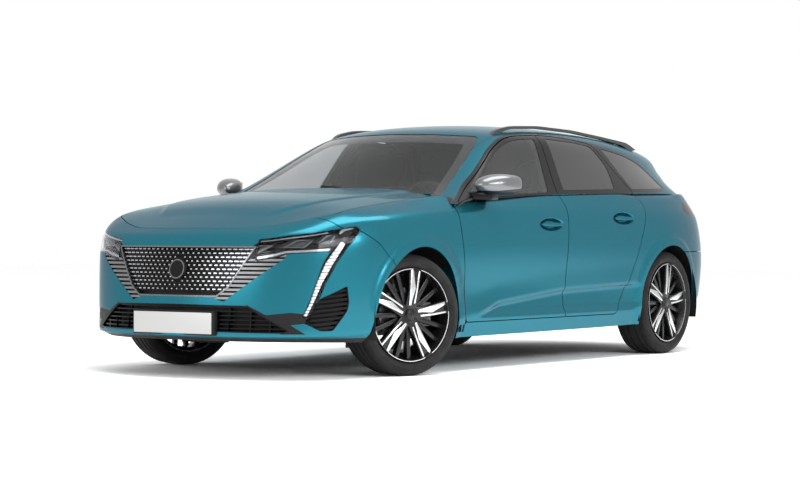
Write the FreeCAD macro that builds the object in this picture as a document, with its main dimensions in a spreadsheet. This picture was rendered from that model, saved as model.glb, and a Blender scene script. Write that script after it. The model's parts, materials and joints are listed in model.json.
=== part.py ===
import FreeCAD, Part
import functools
import math
import os
from collections import namedtuple
from FreeCAD import Placement, Rotation, Vector

# Five-door station wagon. Frame: +X to the front, +Y to the car's left, +Z up, origin on the ground
# under the middle of the car's length. Millimetres. The body's style lines are written once at the
# design size and stretched to the driving dimensions below. The left side is built and mirrored.

doc = FreeCAD.newDocument("station_wagon")
sheet = doc.addObject("Spreadsheet::Sheet", "Dimensions")

DIMENSIONS = [
    ("overall_length", 4636),
    ("overall_width", 1852),
    ("roof_height", 1405),
    ("wheelbase", 2732),
    ("front_overhang", 945),
    ("wheel_inset", 33),        # body's widest plane to the tyre's outer face
    ("tyre_diameter", 637),
    ("tyre_width", 225),
    ("rim_diameter", 486),
    ("rim_wall", 14),
    ("rim_width", 206),
    ("hub_offset", 46),         # wheel's middle plane to the hub's mounting face, outboard
    ("hub_radius", 34),
    ("spoke_count", 5),
    ("spoke_width", 62),
    ("spoke_depth", 30),
    ("disc_radius", 142),
    ("disc_thickness", 22),
    ("kingpin_offset", 64.5),   # wheel's middle plane to the steering axis, inboard
    ("rest_steer", -19),        # degrees: the wheels stand turned to the right
    ("arch_gap", 37),           # tyre tread to the wheel arch's edge
    ("steer_room", 10),         # room around the steered tyre
    ("skin", 5),
    ("shut_gap", 7),            # between a moving panel's skin and its neighbours
    ("tailgate_gap", 14),       # between the roof and the tailgate, at the hinge
    ("door_depth", 150),
    ("frame_depth", 45),
    ("flange_width", 26),       # a door's skin past its inner body
    ("seal_width", 20),         # room beside a door's inner body
    ("seal_depth", 7),          # room behind a door's flange
    ("post_depth", 85),         # outer skin to the middle post below the windows
    ("pillar_depth", 62),       # outer skin to the middle post between the windows
    ("pillar_thickness", 38),
    ("hinge_pin_radius", 4),
    ("hinge_barrel_radius", 7.5),
    ("hinge_barrel_length", 40),
    ("hinge_arm", 16),          # thickness of a door hinge's arm
    ("hinge_reach", 84),        # door hinge axis to the arm's far face, inboard
    ("running_clearance", 0.3),
    ("glass_sink", 3),
    ("glass_thickness", 5),
    ("roof_depth", 25),
    ("bonnet_depth", 32),
    ("bumper_depth", 14),
    ("lamp_depth", 70),
    ("tailgate_depth", 60),
    ("rail_width", 32),
    ("steering_wheel_radius", 178),
    ("steering_rim_radius", 15),
    ("steering_ratio", 14),     # turns of the steering wheel to one of the wheels
    ("exhaust_radius", 25),
]
for row, (alias, value) in enumerate(DIMENSIONS, start=1):
    sheet.set(f"A{row}", alias)
    sheet.set(f"B{row}", str(value))
    sheet.setAlias(f"B{row}", alias)
doc.recompute()
D = namedtuple("D", [alias for alias, _ in DIMENSIONS])(
    *[float(sheet.get(alias)) for alias, _ in DIMENSIONS]
)

# The design size that the style lines below are written at.
DESIGN_LENGTH = 4636.0
DESIGN_WIDTH = 1852.0
DESIGN_HEIGHT = 1405.0
DESIGN_WHEELBASE = 2732.0
DESIGN_FRONT_AXLE = 1373.0
DESIGN_REAR_AXLE = DESIGN_FRONT_AXLE - DESIGN_WHEELBASE

FRONT_AXLE = "(Dimensions.overall_length / 2 - Dimensions.front_overhang)"
REAR_AXLE = f"({FRONT_AXLE} - Dimensions.wheelbase)"
REAR_OVERHANG = f"({REAR_AXLE} + Dimensions.overall_length / 2)"
front_axle = D.overall_length / 2 - D.front_overhang
rear_axle = front_axle - D.wheelbase
axle_z = D.tyre_diameter / 2
wheel_y = D.overall_width / 2 - D.wheel_inset - D.tyre_width / 2
kingpin_y = wheel_y - D.kingpin_offset
arch_radius = axle_z + D.arch_gap

BIG = 3000.0
LOCK = 35.0    # degrees each way from straight ahead


def along_expression(x):
    """A design place along the car as an expression of the sheet's driving dimensions."""
    if x > DESIGN_FRONT_AXLE:
        share = (x - DESIGN_FRONT_AXLE) / (DESIGN_LENGTH / 2 - DESIGN_FRONT_AXLE)
        return f"{FRONT_AXLE} + {share:.9f} * Dimensions.front_overhang"
    if x < DESIGN_REAR_AXLE:
        share = (DESIGN_REAR_AXLE - x) / (DESIGN_REAR_AXLE + DESIGN_LENGTH / 2)
        return f"{REAR_AXLE} - {share:.9f} * {REAR_OVERHANG}"
    share = (x - DESIGN_REAR_AXLE) / DESIGN_WHEELBASE
    return f"{REAR_AXLE} + {share:.9f} * Dimensions.wheelbase"


def across_expression(y):
    return f"{y / DESIGN_WIDTH:.9f} * Dimensions.overall_width"


def up_expression(z):
    return f"{z / DESIGN_HEIGHT:.9f} * Dimensions.roof_height"


def along(x):
    """The same stretch as along_expression, as a number."""
    if x > DESIGN_FRONT_AXLE:
        share = (x - DESIGN_FRONT_AXLE) / (DESIGN_LENGTH / 2 - DESIGN_FRONT_AXLE)
        return front_axle + share * D.front_overhang
    if x < DESIGN_REAR_AXLE:
        share = (DESIGN_REAR_AXLE - x) / (DESIGN_REAR_AXLE + DESIGN_LENGTH / 2)
        return rear_axle - share * (rear_axle + D.overall_length / 2)
    return rear_axle + (x - DESIGN_REAR_AXLE) / DESIGN_WHEELBASE * D.wheelbase


def across(y):
    return y * D.overall_width / DESIGN_WIDTH


def up(z):
    return z * D.roof_height / DESIGN_HEIGHT


# ---------------------------------------------------------------- shape helpers


def offset_outline(points, inset):
    """Moves each corner of an anticlockwise outline inwards by about inset, along its own normal."""
    count = len(points)
    moved = []
    for i, (u, v) in enumerate(points):
        before = points[(i - 1) % count]
        after = points[(i + 1) % count]
        du, dv = after[0] - before[0], after[1] - before[1]
        length = math.hypot(du, dv)
        moved.append((u - dv / length * inset, v + du / length * inset))
    return moved


def polygon(points):
    return Part.makePolygon(points + points[:1])


def prism(points, reach, inset):
    """A flat outline's face, moved inwards all round by inset (outwards if negative), pushed by reach."""
    face = Part.Face(polygon(points))
    if inset:
        face = face.makeOffset2D(-inset, 2).Faces[0]
    return face.extrude(reach)


def side_prism(outline, low_y=-BIG, high_y=BIG, inset=0.0):
    """A side-view outline (x, z), at the design size, made a prism across the car."""
    points = [Vector(along(x), low_y, up(z)) for x, z in outline]
    return prism(points, Vector(0, high_y - low_y, 0), inset)


def plan_prism(outline, low_z=-BIG, high_z=BIG, inset=0.0):
    """A plan-view outline (x, y), at the design size, made an upright prism."""
    points = [Vector(along(x), across(y), low_z) for x, y in outline]
    return prism(points, Vector(0, 0, high_z - low_z), inset)


def end_prism(outline, low_x=-BIG, high_x=BIG, inset=0.0):
    """A front-view outline (y, z), at the design size, made a prism along the car."""
    points = [Vector(low_x, across(y), up(z)) for y, z in outline]
    return prism(points, Vector(high_x - low_x, 0, 0), inset)


def cuboid(x_range, y_range, z_range):
    """A box between design places, each a (low, high) pair."""
    low = Vector(along(x_range[0]), across(y_range[0]), up(z_range[0]))
    high = Vector(along(x_range[1]), across(y_range[1]), up(z_range[1]))
    return Part.makeBox(high.x - low.x, high.y - low.y, high.z - low.z, low)


def symmetric(left):
    """Adds the outline's or solid's mirror image on the car's right."""
    return Part.makeCompound([left, left.mirror(Vector(0, 0, 0), Vector(0, 1, 0))])


def mirrored(shape):
    return shape.mirror(Vector(0, 0, 0), Vector(0, 1, 0))


def both_halves(half):
    """Closes a half outline that runs from y = 0 round to y = 0 with its mirror image."""
    return half + [(x, -y) for x, y in reversed(half) if abs(y) > 1e-6]


def triangle(a, b, c):
    return Part.Face(Part.makePolygon([a, b, c, a]))


def loft(sections):
    """A closed body of flat facets through matching sections, the same on the left and the right."""
    faces = [Part.Face(polygon(sections[0])), Part.Face(polygon(sections[-1]))]
    count = len(sections[0])
    for near, far in zip(sections, sections[1:]):
        for i in range(count):
            j = (i + 1) % count
            a, b, c, d = near[i], near[j], far[j], far[i]
            if a.y + b.y < 0:
                a, b, c, d = b, a, d, c
            faces += [triangle(a, b, c), triangle(a, c, d)]
    return Part.makeSolid(Part.makeShell(faces))


# ---------------------------------------------------------------- the body's own surfaces

# Sections across the car from nose to tail, each point given from the floor's edge up to the middle.
Section = namedtuple(
    "Section",
    "x floor_z sill_y sill_z waist_y waist_z shoulder_y shoulder_z belt_y belt_z hood_y hood_z crown_z",
)
LOWER_SECTIONS = [
    Section(2330, 200, 870, 290, 890, 540, 850, 660, 760, 705, 600, 735, 760),
    Section(2117, 200, 870, 290, 895, 550, 852, 690, 770, 740, 600, 775, 795),
    Section(1836, 190, 880, 295, 905, 570, 868, 757, 790, 830, 640, 868, 890),
    Section(1373, 185, 895, 300, 918, 640, 893, 800, 800, 905, 690, 940, 965),
    Section(1020, 185, 888, 300, 905, 620, 893, 842, 872, 912, 735, 965, 1003),
    Section(-120, 185, 886, 300, 905, 620, 898, 870, 848, 978, 700, 985, 990),
    Section(-1000, 190, 888, 305, 908, 640, 905, 890, 836, 1003, 680, 1008, 1012),
    Section(-1359, 195, 895, 310, 926, 640, 898, 890, 815, 1008, 660, 1012, 1016),
    Section(-1800, 235, 860, 330, 870, 620, 835, 880, 745, 1010, 620, 1014, 1018),
    Section(-2330, 270, 760, 340, 790, 600, 740, 860, 670, 990, 560, 1000, 1005),
]
FLOOR_TUCK = 25.0   # the floor's edge stands inboard of the sill

# Plan outline of the bumpers' corners, from the nose round the left side to the tail: (x, y).
PLAN_HALF = [
    (2318, 0), (2300, 200), (2265, 400), (2205, 560), (2110, 700), (1990, 800), (1840, 872),
    (1650, 912), (1373, 930), (-1359, 930), (-1600, 905), (-1800, 865), (-1950, 812),
    (-2080, 742), (-2180, 660), (-2250, 545), (-2300, 300), (-2318, 0),
]

# Side outline of nose, underside and tail, anticlockwise seen with +X to the right: (x, z).
SIDE_OUTLINE = [
    (2240, 185), (2318, 212), (2318, 240), (2296, 262), (2300, 340), (2318, 385), (2298, 455),
    (2258, 676), (2171, 763), (2130, 820), (2100, 1300), (-2080, 1300), (-2130, 1010),
    (-2180, 950), (-2235, 860), (-2290, 690), (-2318, 630), (-2318, 400), (-2270, 270),
    (-2200, 185),
]


@functools.lru_cache(maxsize=None)
def lower_body(side, top, floor, ends=None):
    """The body below the windows, with its sides, top, floor and ends moved inwards by those amounts."""
    sections = []
    for s in LOWER_SECTIONS:
        half = [
            (across(s.sill_y - FLOOR_TUCK) - side, up(s.floor_z) + floor),
            (across(s.sill_y) - side, up(s.sill_z)),
            (across(s.waist_y) - side, up(s.waist_z)),
            (across(s.shoulder_y) - side, up(s.shoulder_z)),
            (across(s.belt_y) - side, up(s.belt_z) - top),
            (across(s.hood_y) - side, up(s.hood_z) - top),
            (0.0, up(s.crown_z) - top),
        ]
        outline = half + [(-y, z) for y, z in reversed(half[:-1])]
        sections.append([Vector(along(s.x), y, z) for y, z in outline])
    body = loft(sections)
    plan = plan_prism(both_halves(PLAN_HALF), inset=side)
    return body.common(plan).common(side_prism(SIDE_OUTLINE, inset=side if ends is None else ends))


# Outlines of the windows and pillars at rising heights, from the windscreen round to the tailgate.
Level = namedtuple(
    "Level",
    "z screen_x corner_x corner_y pillar_x pillar_y door_y rear_y quarter_y "
    "tail_corner_x tail_corner_y tail_x",
)
CABIN_LEVELS = [
    Level(900, 1120, 1045, 705, 1040, 868, 864, 842, 800, -2020, 640, -2200),
    Level(1030, 905, 795, 663, 745, 777, 822, 795, 745, -1950, 600, -2110),
    Level(1110, 778, 645, 637, 612, 738, 786, 765, 705, -1895, 560, -2045),
    Level(1260, 535, 362, 583, 312, 668, 712, 700, 645, -1780, 515, -1935),
    Level(1330, 425, 230, 560, 150, 638, 678, 664, 605, -1720, 490, -1890),
    Level(1430, 268, 50, 525, -50, 590, 632, 615, 560, -1640, 455, -1830),
]
DOOR_X, REAR_X, QUARTER_X = -120, -1200, -1600   # where door_y, rear_y and quarter_y stand
GLASS_BOW = 0.55    # share of the screen's half width where its plan turns
GLASS_BOW_X = 0.28  # share of the screen's plan depth reached there

RoofSection = namedtuple("RoofSection", "x crown_z rail_z edge_z side_z")
MIDDLE_Y, MIDDLE_DROP = 330, 0.36   # roof's middle line: its place, and its share of the rail's drop
ROOF_SECTIONS = [
    RoofSection(1300, 1200, 1165, 1120, 920),
    RoofSection(400, 1345, 1308, 1262, 1060),
    RoofSection(0, 1388, 1348, 1298, 1100),
    RoofSection(-300, 1405, 1363, 1310, 1115),
    RoofSection(-700, 1400, 1358, 1304, 1110),
    RoofSection(-1100, 1377, 1337, 1282, 1090),
    RoofSection(-1500, 1338, 1303, 1250, 1060),
    RoofSection(-2330, 1240, 1212, 1165, 980),
]
RAIL_Y, EDGE_Y, SIDE_Y = 565, 680, 900


@functools.lru_cache(maxsize=None)
def cabin_body(side, top):
    """The windows, pillars and roof above the belt line, moved inwards by those amounts."""
    outlines = []
    for c in CABIN_LEVELS:
        bow_x = c.screen_x - GLASS_BOW_X * (c.screen_x - c.corner_x)
        tail_bow_x = c.tail_x - GLASS_BOW_X * (c.tail_x - c.tail_corner_x)
        half = [
            (c.screen_x, 0), (bow_x, GLASS_BOW * c.corner_y), (c.corner_x, c.corner_y),
            (c.pillar_x, c.pillar_y), (DOOR_X, c.door_y), (REAR_X, c.rear_y),
            (QUARTER_X, c.quarter_y), (c.tail_corner_x, c.tail_corner_y),
            (tail_bow_x, GLASS_BOW * c.tail_corner_y), (c.tail_x, 0),
        ]
        placed = [(along(x), across(y)) for x, y in both_halves(half)]
        outlines.append([Vector(x, y, up(c.z)) for x, y in offset_outline(placed, side)])
    roofs = []
    for r in ROOF_SECTIONS:
        half = [
            (across(SIDE_Y), 0.0), (across(SIDE_Y), up(r.side_z) - top),
            (across(EDGE_Y), up(r.edge_z) - top), (across(RAIL_Y), up(r.rail_z) - top),
            (across(MIDDLE_Y), up(r.crown_z - MIDDLE_DROP * (r.crown_z - r.rail_z)) - top),
            (0.0, up(r.crown_z) - top),
        ]
        outline = half + [(-y, z) for y, z in reversed(half[:-1])]
        roofs.append([Vector(along(r.x), y, z) for y, z in outline])
    return loft(outlines).common(loft(roofs))


@functools.lru_cache(maxsize=None)
def whole_body(inset):
    return lower_body(inset, inset, inset).fuse(cabin_body(inset, inset))


# ---------------------------------------------------------------- where the panels meet

FRONT_DOOR = [
    (937, 268), (956, 545), (1000, 760), (1012, 880), (985, 927), (894, 972), (745, 1038),
    (612, 1112), (510, 1172), (415, 1216), (323, 1247), (190, 1280), (60, 1296), (-154, 1300),
    (-75, 985), (-109, 925), (-117, 842), (-115, 739), (-105, 429), (-113, 268),
]
REAR_DOOR = [
    (-119, 268), (-111, 429), (-121, 739), (-123, 842), (-115, 925), (-81, 985), (-160, 1300),
    (-330, 1298), (-530, 1289), (-770, 1270), (-1003, 1003), (-1063, 927), (-1030, 828),
    (-987, 740), (-925, 600), (-811, 405), (-734, 299), (-700, 268),
]
FRONT_WINDOW = [
    (800, 952), (700, 1022), (585, 1093), (488, 1148), (400, 1188), (312, 1216), (190, 1246),
    (60, 1261), (-95, 1265), (8, 992),
]
REAR_WINDOW = [
    (-172, 1004), (-232, 1265), (-500, 1258), (-715, 1240), (-815, 1140), (-775, 1022),
]
QUARTER_WINDOW = [
    (-1015, 1026), (-840, 1236), (-1040, 1212), (-1261, 1164), (-1430, 1098), (-1540, 1040),
    (-1535, 1028),
]
SCREEN_HALF = [
    (0, 905), (722, 905), (672, 985), (600, 1190), (558, 1285), (520, 1302), (300, 1322), (0, 1334),
]
TAILGATE_HALF = [
    (0, 602), (500, 602), (560, 650), (618, 850), (618, 1012), (600, 1030), (545, 1120),
    (470, 1262), (440, 1330), (0, 1330),
]
# What lies behind this line in side view is tailgate.
TAILGATE_BACK = [
    (-1700, 1400), (-1786, 1330), (-1790, 1260), (-1885, 1110), (-1940, 1030), (-2000, 1000),
    (-2100, 900), (-2160, 700), (-2160, 500), (-2500, 500), (-2500, 1400),
]
REAR_SCREEN_HALF = [(0, 1012), (540, 1020), (480, 1120), (412, 1225), (0, 1232)]
TAILGATE_FRONT_X = -1786     # tailgate's leading edge in the roof
BONNET_HALF = [
    (1060, 0), (1062, 400), (1070, 728), (1372, 745), (1912, 742), (2050, 560), (2117, 404),
    (2160, 200), (2171, 0),
]
BONNET_LOW_Z = 700
FENDER = [
    (943, 262), (1300, 262), (1640, 600), (1732, 694), (1836, 757), (1934, 773), (1960, 1100),
    (1020, 1100), (1020, 880), (1006, 760), (962, 545),
]
SIDE_SKIN = [
    (930, 120), (930, 262), (925, 262), (925, 911), (1020, 911), (1020, 1500), (-2500, 1500),
    (-2500, 635), (-1450, 635), (-1450, 120),
]
SIDE_CORE = [
    (1040, 190), (1040, 1500), (-2500, 1500), (-2500, 635), (-1450, 635), (-1450, 190),
]
MIDDLE_POST = [(-75, 190), (-75, 985), (-165, 985), (-165, 190)]
MIDDLE_PILLAR = [
    (-70, 930), (-75, 985), (-115, 1300), (-130, 1420), (-220, 1420), (-205, 1300), (-165, 985),
    (-160, 930),
]
FRONT_BUMPER = [
    (1640, 600), (1732, 694), (1836, 757), (1934, 773), (1960, 1100), (2500, 1100), (2500, 100),
    (1600, 100), (1600, 560),
]
REAR_BUMPER = [(-1450, 635), (-1450, 100), (-2500, 100), (-2500, 635)]
GRILLE_HALF = [(0, 425), (262, 425), (330, 470), (456, 676), (0, 676)]
INTAKE_HALF = [(0, 246), (610, 236), (640, 250), (430, 376), (0, 380)]
HEADLAMP = [
    (2245, 640), (2235, 686), (2118, 731), (1990, 757), (1856, 779), (1836, 760), (1928, 667),
    (1976, 597), (2024, 499), (2054, 410), (2096, 312), (2118, 320), (2096, 388), (2062, 508),
    (2036, 598), (2006, 655), (2141, 640), (2172, 624), (2250, 575),
]
SIDE_VENT = [
    (1928, 480), (1918, 399), (1926, 354), (1996, 252), (2050, 251), (2092, 290), (2046, 415),
]
TAIL_LAMP = [(-1815, 872), (-1800, 948), (-2300, 948), (-2300, 872)]
HIGH_Z = 1500
LAMP_Y = 448            # inboard ends of the headlamps and side vents
REAR_TAIL_X, FRONT_CABIN_X = -2170, 985   # ends of the space inside

LEFT = cuboid((-2500, 2500), (0, 1100), (-50, 1600))

outer = whole_body(0.0)
under_skin = whole_body(D.skin)
cabin_space = lower_body(D.door_depth, -up(60), up(50), 0).fuse(cabin_body(D.frame_depth, D.frame_depth))
cabin_space = cabin_space.common(cuboid((REAR_TAIL_X, FRONT_CABIN_X), (-1100, 1100), (0, 1600)))
skin_shell = outer.common(LEFT).cut(under_skin)
core_shell = under_skin.common(LEFT).cut(cabin_space)

ARCH_WALL_Y = 560       # inner wall of a wheel arch
arch_cuts = []
for axle_x in (front_axle, rear_axle):
    wall_y = across(ARCH_WALL_Y)
    arch = Part.makeCylinder(arch_radius, BIG, Vector(axle_x, wall_y, axle_z), Vector(0, 1, 0))
    below = Part.makeBox(2 * arch_radius, BIG, axle_z + 100, Vector(axle_x - arch_radius, wall_y, -100))
    arch_cuts.append(arch.fuse(below))
front_arch_cut, rear_arch_cut = arch_cuts
# Room for the steered tyre: what its outline sweeps about the upright steering axis, both ways.
outboard = D.kingpin_offset + D.tyre_width / 2 + D.steer_room
swept = [(0.0, 0.0)]
SWEEP_STEPS = 12
for step in range(SWEEP_STEPS + 1):
    height = (D.tyre_diameter + D.steer_room) * step / SWEEP_STEPS
    half_chord = math.sqrt(max(0.0, (axle_z + D.steer_room) ** 2 - (height - axle_z) ** 2))
    swept.append((math.hypot(outboard, half_chord), height))
swept.append((0.0, D.tyre_diameter + D.steer_room))
profile = [Vector(front_axle + r, kingpin_y, z) for r, z in swept]
steer_cut = Part.Face(polygon(profile)).revolve(Vector(front_axle, kingpin_y, 0), Vector(0, 0, 1), 360)
inner_wall_y = kingpin_y - D.steer_room - (
    (D.tyre_width / 2 - D.kingpin_offset) * math.cos(math.radians(LOCK))
    + D.tyre_diameter / 2 * math.sin(math.radians(LOCK))
)
steer_cut = steer_cut.common(Part.makeBox(2 * BIG, BIG, BIG, Vector(-BIG, inner_wall_y, -1)))
front_arch_cut = front_arch_cut.common(cuboid((0, 2500), (870, 3000), (-200, 1600))).fuse(steer_cut)

features = []


def keep(name, shape):
    """A sub-part whose shape is cut from the body's surfaces."""
    if shape.ShapeType == "Compound" and len(shape.Solids) == 1:
        shape = shape.Solids[0]
    piece = doc.addObject("Part::Feature", name)
    piece.Label = name
    piece.Shape = shape
    features.append(piece)
    return piece


def whole_outline(half):
    """A front-view half outline (y, z) closed with its mirror image, anticlockwise."""
    return half + [(-y, z) for y, z in reversed(half) if abs(y) > 1e-6]


def shell(depth, start=0.0):
    """The body's layer between two depths under its surface."""
    layer = outer if start == 0.0 else whole_body(start)
    return layer.cut(whole_body(depth))


def cut_all(shape, cutters):
    for cutter in cutters:
        shape = shape.cut(cutter)
    return shape


def cylinder_at(x, y, z, radius, length, direction):
    """A cylinder centred on a place, along a direction."""
    direction = Vector(*direction)
    return Part.makeCylinder(radius, length, Vector(x, y, z) - direction * (length / 2), direction)


def block(x_range, y_range, z_range):
    """A box between real places, each a (low, high) pair."""
    sizes = [high - low for low, high in (x_range, y_range, z_range)]
    return Part.makeBox(*sizes, Vector(x_range[0], y_range[0], z_range[0]))


# ---------------------------------------------------------------- shared cuts

front_door_prism = side_prism(FRONT_DOOR, 0, BIG)
rear_door_prism = side_prism(REAR_DOOR, 0, BIG)
screen_prism = end_prism(whole_outline(SCREEN_HALF), along(150), along(1300))
tailgate_front = along(TAILGATE_FRONT_X)
tailgate_prism = end_prism(whole_outline(TAILGATE_HALF), -BIG, tailgate_front)
tailgate_opening = end_prism(
    whole_outline(TAILGATE_HALF), -BIG, tailgate_front + D.tailgate_gap, inset=-D.shut_gap
)
bonnet_prism = plan_prism(both_halves(BONNET_HALF), up(BONNET_LOW_Z), BIG)
bonnet_opening = plan_prism(both_halves(BONNET_HALF), up(BONNET_LOW_Z) - D.shut_gap, BIG,
                            inset=-D.shut_gap)
roof_zone = cuboid((-2500, 600), (-590, 590), (1180, HIGH_Z))
quarter_prism = side_prism(QUARTER_WINDOW, 0, BIG)
tail_lamp_prism = side_prism(TAIL_LAMP, across(500), BIG)
headlamp_prism = side_prism(HEADLAMP, across(LAMP_Y), BIG)
vent_prism = side_prism(SIDE_VENT, across(LAMP_Y), BIG)
grille_prism = end_prism(whole_outline(GRILLE_HALF), along(1900), BIG)
intake_prism = end_prism(whole_outline(INTAKE_HALF), along(1900), BIG)
fender_prism = side_prism(FENDER, across(430), BIG)
front_bumper_prism = side_prism(FRONT_BUMPER)
CABIN_HALF_Y = 700      # where the floor meets the sills

# ---------------------------------------------------------------- side frames and roof

skin_openings = [side_prism(o, 0, BIG, inset=-D.shut_gap) for o in (FRONT_DOOR, REAR_DOOR)]
cover = D.flange_width - D.seal_width
core_openings = [side_prism(o, 0, BIG, inset=cover) for o in (FRONT_DOOR, REAR_DOOR)]
hinge_reliefs = [
    skin_openings[0].common(cuboid((880, 1100), (0, 1100), (0, 1010))),
    skin_openings[0].common(cuboid((470, 1100), (0, 1100), (900, 1300))),
    skin_openings[1].common(cuboid((-215, 0), (0, 1100), (0, 1010))),
]
side_skin = skin_shell.common(side_prism(SIDE_SKIN, 0, BIG))
side_skin = cut_all(side_skin, skin_openings + [fender_prism])
behind_flange = whole_body(D.skin + D.seal_depth)
flange_room = under_skin.cut(behind_flange)
side_core = core_shell.common(side_prism(SIDE_CORE, 0, BIG))
side_core = cut_all(side_core, core_openings + hinge_reliefs)
side_core = side_core.cut(flange_room.common(skin_openings[0].fuse(skin_openings[1])))
side_frame = side_skin.fuse(side_core)
side_frame = cut_all(side_frame, [
    screen_prism, tailgate_opening, roof_zone, quarter_prism, tail_lamp_prism, rear_arch_cut, steer_cut,
    cuboid((-2500, 1100), (0, CABIN_HALF_Y), (0, 905)), bonnet_opening,
])
post = lower_body(D.post_depth, 0, up(5), 0).cut(lower_body(D.door_depth, -up(60), up(5), 0))
post = post.common(side_prism(MIDDLE_POST, 0, BIG))
pillar = cabin_body(D.pillar_depth, D.roof_depth)
pillar = pillar.cut(cabin_body(D.pillar_depth + D.pillar_thickness, D.roof_depth - 1.0))
pillar = pillar.common(side_prism(MIDDLE_PILLAR, 0, BIG))
side_frame = side_frame.fuse(post).fuse(pillar)

# Door hinges: an upright pin on each of two arms that reach round the door's leading edge.
FRONT_HINGE_X, REAR_HINGE_X = 945, -175
HINGE_Y = 890
HINGE_LEVELS = [545, 715]
arm = D.hinge_arm
half_barrel = D.hinge_barrel_length / 2
LEG_HALF, LEG_RUN = 4, 80      # a hinge arm's half width along the car, and its run forward


def hinge_pin(x, z):
    """The body's half of a door hinge: two arms round the leading edge, and the pin between them."""
    y = across(HINGE_Y)
    pieces = [cylinder_at(x, y, z, D.hinge_pin_radius, D.hinge_barrel_length + 2 * arm, (0, 0, 1))]
    for low in (z - half_barrel - arm, z + half_barrel + 1):
        across_leg = block((x - LEG_HALF, x + LEG_HALF), (y - D.hinge_reach, y), (low, low + arm - 1))
        forward_leg = block(
            (x - LEG_HALF, x + LEG_RUN), (y - D.hinge_reach, y - D.hinge_reach + arm),
            (low, low + arm - 1),
        )
        pieces += [across_leg, forward_leg]
    return pieces[0].multiFuse(pieces[1:])


for hinge_x in (FRONT_HINGE_X, REAR_HINGE_X):
    for level in HINGE_LEVELS:
        side_frame = side_frame.fuse(hinge_pin(along(hinge_x), up(level)))

# Jacking pads under the sills.
PAD_Y, PAD_DROP = 800, 12
for pad_x in (700, -700):
    pad = block((along(pad_x) - 40, along(pad_x) + 40), (across(PAD_Y) - 25, across(PAD_Y) + 25),
                (up(185) - PAD_DROP, up(200)))
    side_frame = side_frame.fuse(pad)
keep("side_frames", symmetric(side_frame))

roof = cabin_body(0, 0).cut(cabin_body(D.roof_depth, D.roof_depth)).common(roof_zone)
roof = cut_all(roof, [screen_prism, tailgate_opening])
roof = roof.cut(block((-BIG, tailgate_front + D.tailgate_gap), (-BIG, BIG), (0, BIG)))
roof = roof.common(cuboid((-2500, 600), (-590, 590), (1180, HIGH_Z)))
TAILGATE_HINGE_Z = 1297
TAILGATE_HINGE_Y = 160
tailgate_hinge_x = tailgate_front + D.tailgate_gap / 2
lug = 7.0
TAILGATE_PIN, TAILGATE_PIN_LENGTH = 2.5, 34


def tailgate_lug(y, forward):
    """A small hinge lug between the axis and the panel ahead of it or behind it."""
    x, z = tailgate_hinge_x, up(TAILGATE_HINGE_Z)
    reach = (x, x + D.tailgate_gap) if forward else (x - D.tailgate_gap, x)
    return block(reach, (y - 8, y + 8), (z - lug / 2, z + lug / 2)).fuse(
        cylinder_at(x, y, z, lug / 2, 16, (0, 1, 0))
    )


for side in (-1, 1):
    y = side * across(TAILGATE_HINGE_Y)
    roof = roof.fuse(tailgate_lug(y, True))
    roof = roof.fuse(cylinder_at(
        tailgate_hinge_x, y + side * 9, up(TAILGATE_HINGE_Z), TAILGATE_PIN, TAILGATE_PIN_LENGTH, (0, 1, 0)
    ))
keep("roof_panel", roof)

# ---------------------------------------------------------------- doors


def door(prism, outline, window, hinge_x):
    """A door's skin and its thinner-edged inner body, with the window and hinge pockets cut out."""
    leaf = skin_shell.common(prism)
    inner = core_shell.common(side_prism(outline, 0, BIG, inset=D.flange_width))
    inner = inner.cut(lower_body(D.door_depth, -up(60), -up(100), 0))
    x = along(hinge_x)
    y = across(HINGE_Y)
    low_post = side_prism(MIDDLE_POST, 0, BIG, inset=-D.seal_width)
    inner = inner.cut(low_post.common(cuboid((-2500, 2500), (0, 1100), (0, 955))))
    barrels = []
    for level in HINGE_LEVELS:
        z = up(level)
        reach = half_barrel + arm + 8
        pocket = block((x - arm / 2 - 8, x + 200), (0, BIG), (z - reach, z + reach))
        inner = inner.cut(pocket)
        barrel = cylinder_at(x, y, z, D.hinge_barrel_radius, D.hinge_barrel_length - 2, (0, 0, 1))
        web = block(
            (x - arm / 2 - 20, x), (y - 5, y + 5), (z - half_barrel + 1, z + half_barrel - 1)
        )
        barrels.append(barrel.fuse(web))
    leaf = leaf.multiFuse([inner] + barrels)
    leaf = leaf.cut(side_prism(window, 0, BIG))
    for level in HINGE_LEVELS:
        leaf = leaf.cut(cylinder_at(x, y, up(level), D.hinge_pin_radius + D.running_clearance,
                                    D.hinge_barrel_length + 40, (0, 0, 1)))
    return leaf


glass_shell = whole_body(D.glass_sink).common(LEFT).cut(whole_body(D.glass_sink + D.glass_thickness))
DoorPlan = namedtuple("DoorPlan", "name prism outline window hinge_x")
DOORS = [
    DoorPlan("front", front_door_prism, FRONT_DOOR, FRONT_WINDOW, FRONT_HINGE_X),
    DoorPlan("rear", rear_door_prism, REAR_DOOR, REAR_WINDOW, REAR_HINGE_X),
]
for plan in DOORS:
    leaf = door(plan.prism, plan.outline, plan.window, plan.hinge_x)
    pane = glass_shell.common(side_prism(plan.window, 0, BIG))
    for side in ("left", "right"):
        turn = mirrored if side == "right" else (lambda shape: shape)
        keep(f"{side}_{plan.name}_door", turn(leaf))
        keep(f"{side}_{plan.name}_window", turn(pane))

# Door mirrors, each on a foot at the front of the window line.
housing = Part.makeBox(150, 150, 104, Vector(along(600), D.overall_width / 2 - 45, up(958)))
housing = housing.makeFillet(32, housing.Edges)
foot = cuboid((640, 720), (800, 905), (925, 975))
mirror_shape = housing.fuse(foot).cut(outer)
keep("left_mirror", mirror_shape)
keep("right_mirror", mirrored(mirror_shape))

# ---------------------------------------------------------------- fixed glass

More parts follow.
